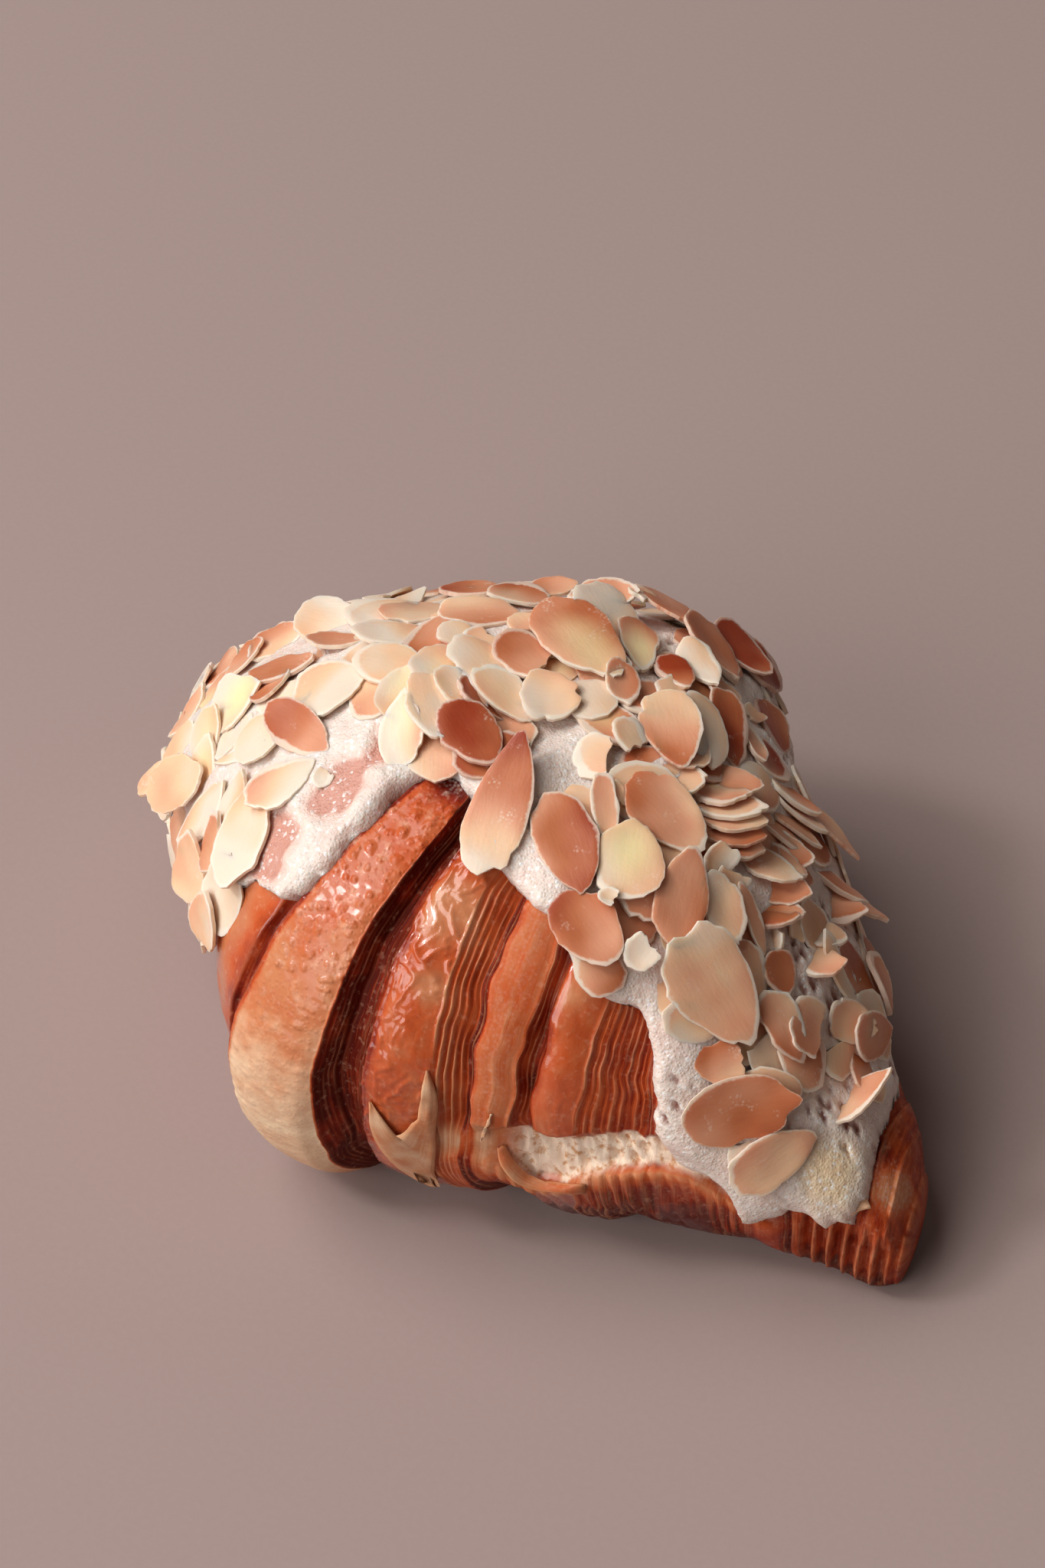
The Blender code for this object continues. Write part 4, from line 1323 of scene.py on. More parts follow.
@dataclass(frozen=True)
class FlakeFinish:
    """Finish of the flaked almonds: toasted middles in a paler, waxy rim."""

    name: str = "flaked_almond"
    cream: Colour = srgb(234, 212, 191)
    rim: Colour = srgb(240, 222, 204)
    gold: Colour = srgb(238, 192, 154)
    salmon: Colour = srgb(222, 157, 123)
    tan: Colour = srgb(192, 112, 72)
    brown: Colour = srgb(154, 58, 26)
    heart: Colour = srgb(250, 228, 170)

    def make(self, grain: bpy.types.NodeTree) -> bpy.types.Material:
        """Build the material.

        Args:
            grain: The shared sugar grain.

        Returns:
            The material.
        """
        material, wiring, shader = new_material(self.name)
        local, rim = wiring.attribute("local", "Vector"), wiring.attribute("rim")
        tone, heart = wiring.attribute("tone"), wiring.attribute("heart")
        cloud = wiring.noise(local, 0.10, 1.0, 0.5)
        fibre = wiring.noise(wiring.stretch(local, (0.35, 1.6, 1)), 1.0, 3.0, 0.6)
        level = wiring.plus(tone, wiring.remap(cloud, 0.3, 0.7, -0.16, 0.16))
        level = wiring.plus(level, wiring.remap(fibre, 0.3, 0.7, -0.012, 0.012))
        stops = ((0.0, self.cream), (0.22, self.gold), (0.45, self.salmon), (0.72, self.tan),
                 (1.0, self.brown))
        colour = wiring.ramp(level, stops)
        colour = wiring.mix(wiring.times(heart, 0.85), colour, self.heart)
        chalk = wiring.noise(local, 1.1, 3.0, 0.6)
        wobble = wiring.plus(rim, wiring.remap(chalk, 0.3, 0.7, -0.16, 0.16))
        border = wiring.remap(wobble, 0.62, 0.18)
        fade = wiring.remap(tone, 0.35, 1.0, 0.85, 0.5)
        colour = wiring.mix(wiring.times(border, fade), colour, self.rim)
        sugar = wiring.grain(grain, 1800.0)
        dusted = wiring.remap(wiring.noise(wiring.place(), 200.0, 3.0, 0.6), 0.60, 0.76)
        dust = wiring.times(dusted, sugar["Crystals"])
        colour = wiring.mix(wiring.math("MINIMUM", dust, 0.85), colour, self.rim)
        wiring.feed(shader.inputs["Base Color"], colour)
        rough = wiring.remap(fibre, 0.3, 0.7, 0.36, 0.52)
        wiring.feed(shader.inputs["Roughness"], rough)
        set_inputs(shader, {"Specular IOR Level": 0.35, "Subsurface Weight": 0.4,
                            "Subsurface Radius": (1, 0.6, 0.35), "Subsurface Scale": 0.002})
        height = wiring.plus(wiring.times(fibre, 0.6), wiring.times(sugar["Grain"], 0.3))
        wiring.feed(shader.inputs["Normal"], wiring.bump(height, 0.00012, 0.6))
        return material


# ---- the almond cream


@dataclass
class Cream:
    """The coat of almond cream: a lumpy, grainy sheet with a rounded rim.

    Attributes:
        spacing: Mm between mesh columns along the roll.
        turn: Degrees between mesh rows.
        thickness: Mm above the dough.
        pressed: Mm by which the flakes press it down.
        rim: Width of the rounded rim in mm.
        front_edge: Theta of the front edge along the roll.
        back_edge: Theta of the back edge along the roll.
        seed: Seed of its random fields.
    """

    spacing: float = 0.78
    turn: float = 0.84
    thickness: float = 2.9
    pressed: float = 1.3
    rim: float = 2.8
    far_end: float = -79.0
    near_end: float = 73.5
    front_edge: Knots = (
        (-79, 78), (-70, 100), (-50, 106), (-30, 98), (-20.3, 88), (-17, 64),
        (-13, 53), (-6, 48), (-4.4, 12), (6, 12), (12, 21), (24, 26.5),
        (31, 35), (38.3, 36), (42, 46), (44, 60), (47.5, 73), (56, 79),
        (59.5, 92), (62.5, 88), (66, 77), (73.5, 62),
    )
    back_edge: Knots = ((-79, -60), (-66, -84), (-50, -78), (-36, -90), (-18, -70), (-8, -80), (6, -66),
                        (20, -82), (34, -64), (48, -76), (62, -58), (73.5, -40),)
    thin_zones: tuple[Zone, ...] = (
        (455, 1010, 34), (492, 972, 28), (430, 1045, 28), (365, 1085, 36),
        (345, 1130, 30),
    )
    pore_zones: tuple[Zone, ...] = ((1095, 1270, 60), (1100, 1470, 60), (870, 1440, 40), (540, 900, 30),)
    wet_zone: Zone = (1085, 1535, 50)
    seed: int = 11

    def __post_init__(self) -> None:
        """Draw the random fields and lay out the edge."""
        self.noise = SmoothNoise(self.seed)
        self.cells = Cells(self.seed + 1)
        along = np.linspace(self.far_end, self.near_end, 900)
        front, back = straight(self.front_edge, along), curve(self.back_edge, along)
        ends = np.linspace(0.0, 1.0, 40)
        s = np.concatenate((along, np.full(40, self.near_end), along[::-1], np.full(40, self.far_end)))
        near, far = front[-1] + (back[-1] - front[-1]) * ends, back[0] + (front[0] - back[0]) * ends
        theta = np.concatenate((front, near, back[::-1], far))
        self.edge = self.unrolled(s, theta)
        self.edge = self.even_out(self.edge, 0.5)

    @staticmethod
    def unrolled(s: Array, theta: Array) -> Array:
        """Rows of mm along and mm round the roll."""
        return rows(s, theta * ROLL.girth(s))

    @staticmethod
    def even_out(line: Array, spacing: float) -> Array:
        """Points at an even spacing along a closed line."""
        closed = np.vstack((line, line[:1]))
        length = np.concatenate(((0,), np.cumsum(np.hypot(*np.diff(closed, axis=0).T))))
        stops = np.arange(0.0, length[-1], spacing)
        return np.column_stack([np.interp(stops, length, closed[:, i]) for i in (0, 1)])

    def inset(self, s: Array, theta: Array) -> Array:
        """Distance (mm) inside the cream's wavering edge; outside it is negative."""
        places = self.unrolled(s, theta)
        nearest = np.full(len(s), np.inf)
        for point in self.edge:
            offset = places - point
            np.minimum(nearest, offset[:, 0] ** 2 + offset[:, 1] ** 2, out=nearest)
        front, back = straight(self.front_edge, s), curve(self.back_edge, s)
        inside = (theta < front) & (theta > back) & (s > self.far_end) & (s < self.near_end)
        signed = np.where(inside, 1.0, -1.0) * np.sqrt(nearest)
        field = rows(places, np.zeros(len(s)))
        return signed + 0.9 * self.noise.at(field / 5.0, 2) + 0.25 * self.noise.at(field / 1.3)

    def height(self, s: Array, theta: Array, inset: Array, looks: Looks) -> Array:
        """Thickness of the cream above its bed, in mm."""
        place = rows(self.unrolled(s, theta), np.zeros(len(s)))
        lumps = 0.50 * self.noise.at(place / 9.0, 2) + 0.15 * self.noise.at(place / 3.2)
        lumps += 0.10 * self.noise.at(place / 1.2, 2)
        distance, value = self.cells.nearest(place[:, 0] / 2.4, place[:, 1] / 2.4)
        dents = held(1.0 - distance / 0.34) ** 0.7 * (value < 0.55)
        # The pore mask dents the cream here and marks where its finish paints shade.
        looks["pore"] = held(1.6 * dents * looks["porous"])
        heaped = step_up(-s, 30.0, 50.0)
        full = self.thickness - self.pressed * step_up(inset, 4.0, 13.0) * (1.0 - 0.8 * heaped)
        full += 0.5 * heaped
        full = full * (1.0 - 0.72 * looks["thin"]) + lumps * (1.0 + 0.8 * heaped) - 1.1 * looks["pore"]
        share = held(inset / self.rim)
        return np.sqrt(1.0 - (1.0 - share) ** 2) * np.maximum(full, 0.3)

    def build(self) -> Mesh:
        """Make the cream's mesh with its looks as attributes."""
        low, high = -96, 112
        columns = round((self.near_end - self.far_end + 6.0) / self.spacing)
        rows = round((high - low) / self.turn)
        bm = grid(columns, rows)
        flat = coordinates(bm)
        s = self.far_end - 3.0 + flat[:, 0] * self.spacing
        theta = low + flat[:, 1] * self.turn
        inset = self.inset(s, theta)
        self.trim(bm, inset)
        flat = coordinates(bm)
        s = self.far_end - 3.0 + flat[:, 0] * self.spacing
        theta = low + flat[:, 1] * self.turn
        s, theta, inset = self.snap(s, theta)
        source, under_side = thicken(bm)
        bed = 0.5 * self.smooth_depth(s, theta)
        looks = self.zones(s, theta, bed)
        top = bed - self.height(s, theta, inset, looks)
        under = dough_depth(s, theta) + 0.9
        rim = held(inset / 0.6)
        top = under - 0.5 + (top - under + 0.5) * rim ** 0.5
        depth = np.where(under_side, under[source], np.minimum(top, under - 0.3)[source])
        points = ROLL.point(s[source], theta[source], depth)
        stored = {key: looks[key][source] for key in ("thin", "pore", "wet")}
        mesh = mesh_from(bm, "almond_cream", points, stored)
        turn_out(mesh, weld=True)
        return mesh

    @staticmethod
    def trim(bm: BMesh, inset: Array) -> None:
        """Delete the faces that lie outside the edge."""
        outside = inset < 0.0
        bm.verts.index_update()
        gone = [face for face in bm.faces if all(outside[vert.index] for vert in face.verts)]
        bmesh.ops.delete(bm, geom=gone, context="FACES")
        loose = [vert for vert in bm.verts if not vert.link_faces]
        bmesh.ops.delete(bm, geom=loose, context="VERTS")
        bm.verts.index_update()

    def snap(self, s: Array, theta: Array) -> tuple[Array, ...]:
        """Pull the places outside the edge onto it.

        Args:
            s: Places along the roll.
            theta: Angles round it.

        Returns:
            The new places and angles, and their distances inside the edge.
        """
        s, theta = s.copy(), theta.copy()
        for _ in range(3):
            inset = self.inset(s, theta)
            out = inset < 0.0
            if not out.any():
                break
            a, b, here, probe = s[out], theta[out], inset[out], 0.15
            girth = ROLL.girth(a)
            slope_s = (self.inset(a + probe, b) - here) / probe
            slope_t = (self.inset(a, b + probe / girth) - here) / probe
            size = np.maximum(slope_s**2 + slope_t**2, 0.25)
            s[out] = a - here * slope_s / size
            theta[out] = b - here * slope_t / size / girth
        return s, theta, np.maximum(self.inset(s, theta), 0.0)

    @staticmethod
    def smooth_depth(s: Array, theta: Array) -> Array:
        """The dough's depth, evened out over a few mm."""
        reach = (-2.4, -1.2, 0, 1.2, 2.4)
        return sum(dough_depth(s + offset, theta) for offset in reach) / len(reach)

    def zones(self, s: Array, theta: Array, bed: Array) -> Looks:
        """Where the cream is thin, porous or wet, as the picture shows it."""
        across, down = VIEW.pixels(ROLL.point(s, theta, bed - self.thickness))
        across = across + 22.0 * self.noise.at(self.unrolled3(s, theta) / 5.0, 2)
        front = step_up(theta, -15.0, 0.0)
        thin = sum(around(across, down, zone) for zone in self.thin_zones)
        porous = sum(around(across, down, zone) for zone in self.pore_zones)
        hidden = (1.0 - front) * step_up(self.noise.at(self.unrolled3(s, theta) / 14.0), 0.25, 0.6)
        return {
            "thin": held(thin * front),
            "porous": held(porous * front + hidden),
            "wet": around(across, down, self.wet_zone) * front,
        }

    def unrolled3(self, s: Array, theta: Array) -> Array:
        """Rows of mm along, mm round and zero."""
        return rows(self.unrolled(s, theta), np.zeros(len(s)))


# ---- loose crust


@dataclass(frozen=True)
class Peel:
    """A thin sheet of crust that has come loose, between two edges.

    Attributes:
        one: Pixel across, pixel down and mm above the roll, along its one edge.
        other: The same along its other edge.
        tone: From 0, pale gold, to 1, deep brown.
        crumb: How much of the pale inside it shows.
        fibre: How strongly fine strands show along it.
    """

    one: Knots
    other: Knots
    tone: float
    crumb: float = 0.0
    fibre: float = 1.0


PEELS = (
    Peel(((481, 1438, 0.4), (484, 1470, 1), (497, 1500, 1.2), (522, 1526, 1.2), (548, 1542, 1),
          (568, 1552, 0.6)),
         ((484, 1438, 0.4), (500, 1460, 1), (520, 1484, 1.2), (540, 1494, 1.4), (558, 1508, 1.2),
          (574, 1548, 0.8)), 0.26, 0.0, 0.3),
    Peel(((514, 1486, 1.2), (534, 1472, 1.5), (547, 1455, 1.3), (550, 1425, 0.8), (555, 1398, 0.3)),
         ((566, 1536, 1), (568, 1504, 1.2), (570, 1470, 1.2), (570, 1430, 0.7), (559, 1398, 0.3)),
         0.30, 0.0, 0.3),
    Peel(((1026, 1556, 0.6), (1060, 1562, 1), (1095, 1566, 1.2), (1130, 1556, 0.8)),
         ((1040, 1577, 2), (1060, 1575, 2.6), (1100, 1587, 2.8), (1136, 1576, 1.8)), 0.20, 0.1, 0.4),
    Peel(((641, 1455, 0.4), (626, 1489, 1.2)), ((645, 1456, 0.4), (630, 1490, 1.2)), 0.2, 0.2),
    Peel(((650, 1500, 0.6), (656, 1524, 1.6), (678, 1545, 2.2), (716, 1556, 2), (765, 1560, 0.8)),
         ((661, 1496, 0.4), (672, 1515, 1.2), (692, 1533, 1.8), (722, 1543, 1.4), (765, 1548, 0.5)),
         0.40, 0.0, 0.4),
)


@dataclass
class LooseCrust:
    """Shards, peels and strands that hang on the roll's crust.

    Attributes:
        form: The slab that each is bent from.
        thickness: Mm.
        seed: Seed of their unevenness.
    """

    form: SlabForm = SlabForm(18, 6)
    thickness: float = 0.25
    seed: int = 17

    def build(self, roll: BVHTree) -> Mesh:
        """Make one mesh of all the sheets.

        Args:
            roll: The roll's surface.

        Returns:
            The mesh, with the looks that the crust's finish reads.
        """
        slab, flat, level = self.form.make()
        noise = SmoothNoise(self.seed)
        bm = bmesh.new()
        points, looks = [], {key: [] for key in CRUST_LOOKS}
        for number, peel in enumerate(PEELS):
            bm.from_mesh(slab)
            along, over = (flat.T + 1.0) / 2.0
            place = self.lie(peel, along, over, roll, noise, number)
            points.append(place - np.outer(level < 0, VIEW.axes()[1]) * self.thickness * MM)
            values = {key: np.zeros(len(level)) for key in CRUST_LOOKS}
            values["tone"] = peel.tone + 0.1 * noise.at(place * 400.0)
            values["crumb"] += peel.crumb
            values["fibre"] += peel.fibre
            values["gloss"] += 0.45
            values["edge"] = held(np.abs(flat[:, 1]) * 3.0 - 2.0)
            values["leaf"] = rows(6.0 * over + 9.0 * number, 20.0 * along, level)
            for key, value in values.items():
                looks[key].append(value)
        bpy.data.meshes.remove(slab)
        joined = {key: np.concatenate(parts) for key, parts in looks.items()}
        mesh = mesh_from(bm, "loose_crust", np.vstack(points), joined)
        turn_out(mesh)
        return mesh

    @staticmethod
    def lie(peel: Peel, along: Array, over: Array, roll: BVHTree, noise: SmoothNoise,
            number: int) -> Array:
        """Where a sheet's vertices go.

        Args:
            peel: The sheet.
            along: Share of the way along its edges.
            over: Share of the way from its one edge to its other.
            roll: The roll's surface.
            noise: Noise for its unevenness.
            number: The sheet's number.

        Returns:
            Rows of coordinates in metres.
        """
        sides = []
        for knots in (peel.one, peel.other):
            stops = np.linspace(0.0, 1.0, len(knots))
            table = rows(stops, np.array(knots, dtype=float))
            sides.append(np.column_stack([curve(table, along, column) for column in (1, 2, 3)]))
        track = sides[0] + (sides[1] - sides[0]) * over[:, None]
        wander = noise.at(rows(9.0 * along, 3.0 * over, 0.0 * over + number), 2)
        track[:, 2] += 0.2 * wander + 0.2 * np.sin(math.pi * over)
        back = VIEW.axes()[1]
        places, distance = [], 0.0
        for across, down, lift in track + rows(1.5 * wander, 1.5 * wander, 0.0 * wander):
            eye, ray = VIEW.ray(across, down)
            hit = roll.ray_cast(eye, ray)
            distance = hit[3] if hit[0] is not None else distance
            places.append(eye + ray * distance + back * lift * MM)
        return np.array(places)


# ---- the flaked almonds


class Cut(Enum):
    """Kinds of flaked almond, each made as one piece."""

    WHOLE = "whole_flakes"
    BROKEN = "broken_flakes"
    SLIVER = "almond_slivers"


@dataclass(frozen=True)
class Flake:
    """One flake that the picture shows.

    Attributes:
        across: Pixel across of its middle.
        down: Pixel down of its middle.
        length: Mm.
        width: Mm.
        turn: Degrees from the picture's right towards its top.
        tone: From 0, pale, to 1, deep brown.
        heart: How yellow its middle is.
        lean: Degrees that its face leans from the viewer, or None where it lies flat.
        cut: Kind of flake.
        toast: How much darker it gets along its length, or None for a draw.
    """

    across: float
    down: float
    length: float
    width: float
    turn: float
    tone: float
    heart: float = 0.0
    lean: float | None = None
    cut: Cut = Cut.WHOLE
    toast: float | None = None


def chip(across: float, down: float, length: float, width: float, turn: float, tone: float,
         lean: float | None = None) -> Flake:
    """A broken piece of a flake."""
    return Flake(across, down, length, width, turn, tone, 0.0, lean, Cut.BROKEN)


FAR_HORN_FLAKES = (
    Flake(345, 822, 11, 8, 22, 0.38), Flake(440, 797, 9, 7, -5, 0.60, 0, 70),
    Flake(312, 853, 8.5, 7, 28, 0.55), Flake(430, 815, 9.5, 8, 0, 0.08),
    Flake(500, 800, 12, 9, 25, 0.15), Flake(440, 839, 10, 6, 0, 0.42, 0, 62),
    Flake(372, 873, 11, 6.5, 8, 0.62), Flake(262, 905, 11, 8, 40, 0.16),
    Flake(308, 915, 11, 9, 20, 0.12, 1.0), Flake(250, 930, 11, 7, 62, 0.30),
    Flake(345, 960, 12, 8, 35, 0.05), Flake(270, 965, 12, 8, 60, 0.12, 0.4),
    Flake(225, 975, 11, 8, 66, 0.18), Flake(268, 1000, 11, 7, 72, 0.20, 0.5),
    Flake(203, 1008, 10, 5, 42, 0.12, 0, 50), Flake(245, 1022, 12, 8, 25, 0.25),
    Flake(238, 1085, 10, 8, 68, 0.32), Flake(268, 1062, 13, 7.5, 52, 0.12),
    Flake(262, 1130, 12, 8, 78, 0.15), Flake(306, 1052, 12, 8, 74, 0.22, 0, 58),
    Flake(290, 1165, 13, 8, 74, 0.06), Flake(318, 1085, 19, 8.5, 74, 0.04),
    Flake(268, 1200, 10, 7, 80, 0.20), Flake(368, 1022, 12, 7, 40, 0.16),
    chip(425, 1012, 5, 3, 62, 0.05), Flake(430, 897, 12.5, 10.5, 20, 0.06),
    Flake(388, 952, 13.5, 8, -33, 0.72, toast=-0.1),
)
CREST_FLAKES = (
    Flake(615, 770, 11, 8, 2, 0.72, 0, 68), Flake(722, 769, 9, 7, 8, 0.50, 0, 60),
    Flake(787, 753, 11, 7, -8, 0.45, 0, 68), Flake(793, 772, 11, 7.5, 4, 0.50, 0, 40),
    Flake(545, 798, 13, 10, 15, 0.30), Flake(515, 828, 14, 8, -4, 0.12, 0, 58),
    Flake(680, 781, 11, 8, -15, 0.55), chip(600, 838, 8, 6, -70, 0.12),
    chip(640, 838, 9, 7, 20, 0.20), chip(692, 818, 8, 5, -50, 0.35),
    Flake(626, 799, 14, 8, -4, 0.45), Flake(510, 868, 12, 8, -15, 0.28),
    Flake(530, 905, 11, 9, 80, 0.12, 0.7), Flake(525, 950, 12, 7, 86, 0.12, 0.4),
    Flake(585, 880, 12, 9, -38, 0.15, 0.5), Flake(562, 925, 12, 8, -75, 0.12),
    Flake(605, 905, 11, 6, -42, 0.18), Flake(640, 880, 16, 8, -46, 0.14),
    Flake(618, 908, 7, 5, -45, 0.10, 0, 60), Flake(634, 918, 12, 7, -40, 0.85, 0, 62),
    Flake(660, 905, 13, 7, -45, 0.16), replace(chip(692, 862, 13, 8, -38, 0.60), toast=-0.35),
    Flake(720, 909, 10.2, 9, 0, 0.16), Flake(617, 960, 12.5, 9, -56, 0.95, toast=0.1),
    Flake(655, 1050, 24, 9.5, 73, 0.52, toast=0.55), chip(850, 772, 7, 5, -20, 0.15),
    Flake(868, 805, 12, 9, -52, 0.62), Flake(796, 812, 13, 9, -52, 0.06),
    Flake(836, 840, 11.5, 6.5, -80, 0.46, 0.8, toast=-0.3), Flake(813, 896, 7, 5.5, -75, 0.50),
    Flake(759, 838, 19, 10.8, -57, 0.50, 0.6),
)
# Flakes on the shaded right-hand side; their deep tones are partly their own toasting and partly painted
# shade.
SHADE_FLAKES = (
    Flake(985, 872, 12, 8, -62, 0.95), Flake(965, 850, 13, 8, -60, 0.95),
    Flake(912, 870, 10, 5, -66, 0.15), Flake(930, 850, 13.5, 8, -60, 0.72),
    Flake(883, 878, 7.5, 5, -70, 0.95), Flake(1010, 950, 11, 7, -78, 0.85),
    chip(987, 930, 5, 4, 20, 0.30), Flake(1004, 995, 9, 6, -40, 0.75),
    Flake(986, 972, 7, 4, -76, 0.40), Flake(952, 952, 13.5, 6.5, -80, 0.88),
    Flake(922, 955, 13, 7, -78, 0.12), chip(826, 965, 8, 5, -60, 0.18),
    Flake(878, 950, 14, 9.2, -80, 0.46), chip(786, 986, 9, 7, -8, 0.28),
    Flake(1035, 1042, 11, 6, -36, 0.55, 0, 70), Flake(1040, 1062, 12, 6, -38, 0.50, 0, 72),
    Flake(1035, 1078, 12, 6, -38, 0.45, 0, 72), Flake(1020, 1088, 12, 6, -40, 0.55, 0, 70),
    Flake(1099, 1082, 14, 6, -43, 0.42, 0, 70), Flake(955, 1096, 11, 9, -16, 0.50, 0, 42),
    Flake(952, 1082, 12, 9, -14, 0.55, 0, 50), Flake(950, 1066, 12.5, 9, -10, 0.38, 0, 58),
    Flake(948, 1052, 13, 9, -8, 0.50, 0, 58), Flake(940, 1036, 10, 8, -6, 0.35, 0, 66),
    Flake(950, 1022, 12, 8.5, -2, 0.52, 0, 52), Flake(888, 1018, 9, 8, 0, 0.34, 0, 48),
)
FRONT_FLAKES = (
    chip(808, 1045, 5.5, 2.6, -80, 0.15), Flake(790, 1052, 11, 4.5, -85, 0.42),
    chip(945, 1118, 7, 5, 40, 0.12), chip(962, 1143, 7, 6, 60, 0.25),
    Flake(1088, 1150, 14, 6, -38, 0.60, 0, 70), Flake(1110, 1172, 14, 6, -38, 0.50, 0, 70),
    Flake(1012, 1195, 8, 6, -4, 0.80, 0, 55), Flake(1018, 1188, 8, 6, -6, 0.70, 0, 48),
    Flake(1022, 1160, 9, 7, -12, 0.55, 0, 30), Flake(1005, 1132, 11, 8, -22, 0.30, 0, 58),
    Flake(1010, 1124, 11.5, 8, -22, 0.40, 0, 55), Flake(1016, 1110, 12, 8.5, -22, 0.62, 0, 40),
    Flake(1094, 1185, 10, 7.5, -10, 0.45, 0, 42), Flake(872, 1064, 16, 10, -44, 0.42),
    Flake(768, 1213, 13.5, 10, -52, 0.74), chip(798, 1172, 4, 3, -20, 0.08),
    Flake(822, 1121, 13.4, 10.8, 78, 0.30, 0.9), Flake(741, 1101, 17, 9.4, -74, 0.78),
    Flake(945, 1188, 12, 6.5, -68, 0.24), Flake(890, 1170, 15.5, 8.5, 76, 0.52),
    Flake(978, 1275, 12, 7, -78, 0.36), Flake(1018, 1272, 8, 6, -78, 0.82),
    Flake(984, 1200, 12, 3, -70, 0.34, 0, None, Cut.SLIVER),
    chip(1015, 1222, 5, 3, 85, 0.20, 40), chip(1040, 1220, 5.5, 3, -84, 0.20, 40),
    Flake(1078, 1222, 7, 6, -2, 0.16, 0, 55), Flake(1072, 1256, 8, 7, -4, 0.32, 0, 48),
    Flake(1138, 1262, 12, 6, -72, 0.60, 0, 62), Flake(1152, 1285, 11, 6, -72, 0.55, 0, 68),
    chip(840, 1240, 6.5, 5.5, 60, 0.04), Flake(885, 1305, 10, 7, -38, 0.28),
    Flake(900, 1338, 9, 6, -25, 0.24), Flake(1026, 1342, 12, 7, -62, 0.52),
    Flake(934, 1290, 22, 12.5, -57, 0.36, toast=0.12), Flake(1112, 1335, 9, 7, -15, 0.28),
    chip(1064, 1345, 10, 9, -38, 0.34), Flake(1143, 1351, 10, 8, 22, 0.60),
    chip(957, 1388, 11, 7, 2, 0.48), Flake(1118, 1432, 13.5, 7, 37, 0.42, 0, 58),
    Flake(968, 1450, 18, 11.4, 12, 0.68), Flake(1008, 1516, 15.8, 8.4, 27, 0.28, toast=0.1),
)
SHOWN_FLAKES = FAR_HORN_FLAKES + CREST_FLAKES + SHADE_FLAKES + FRONT_FLAKES


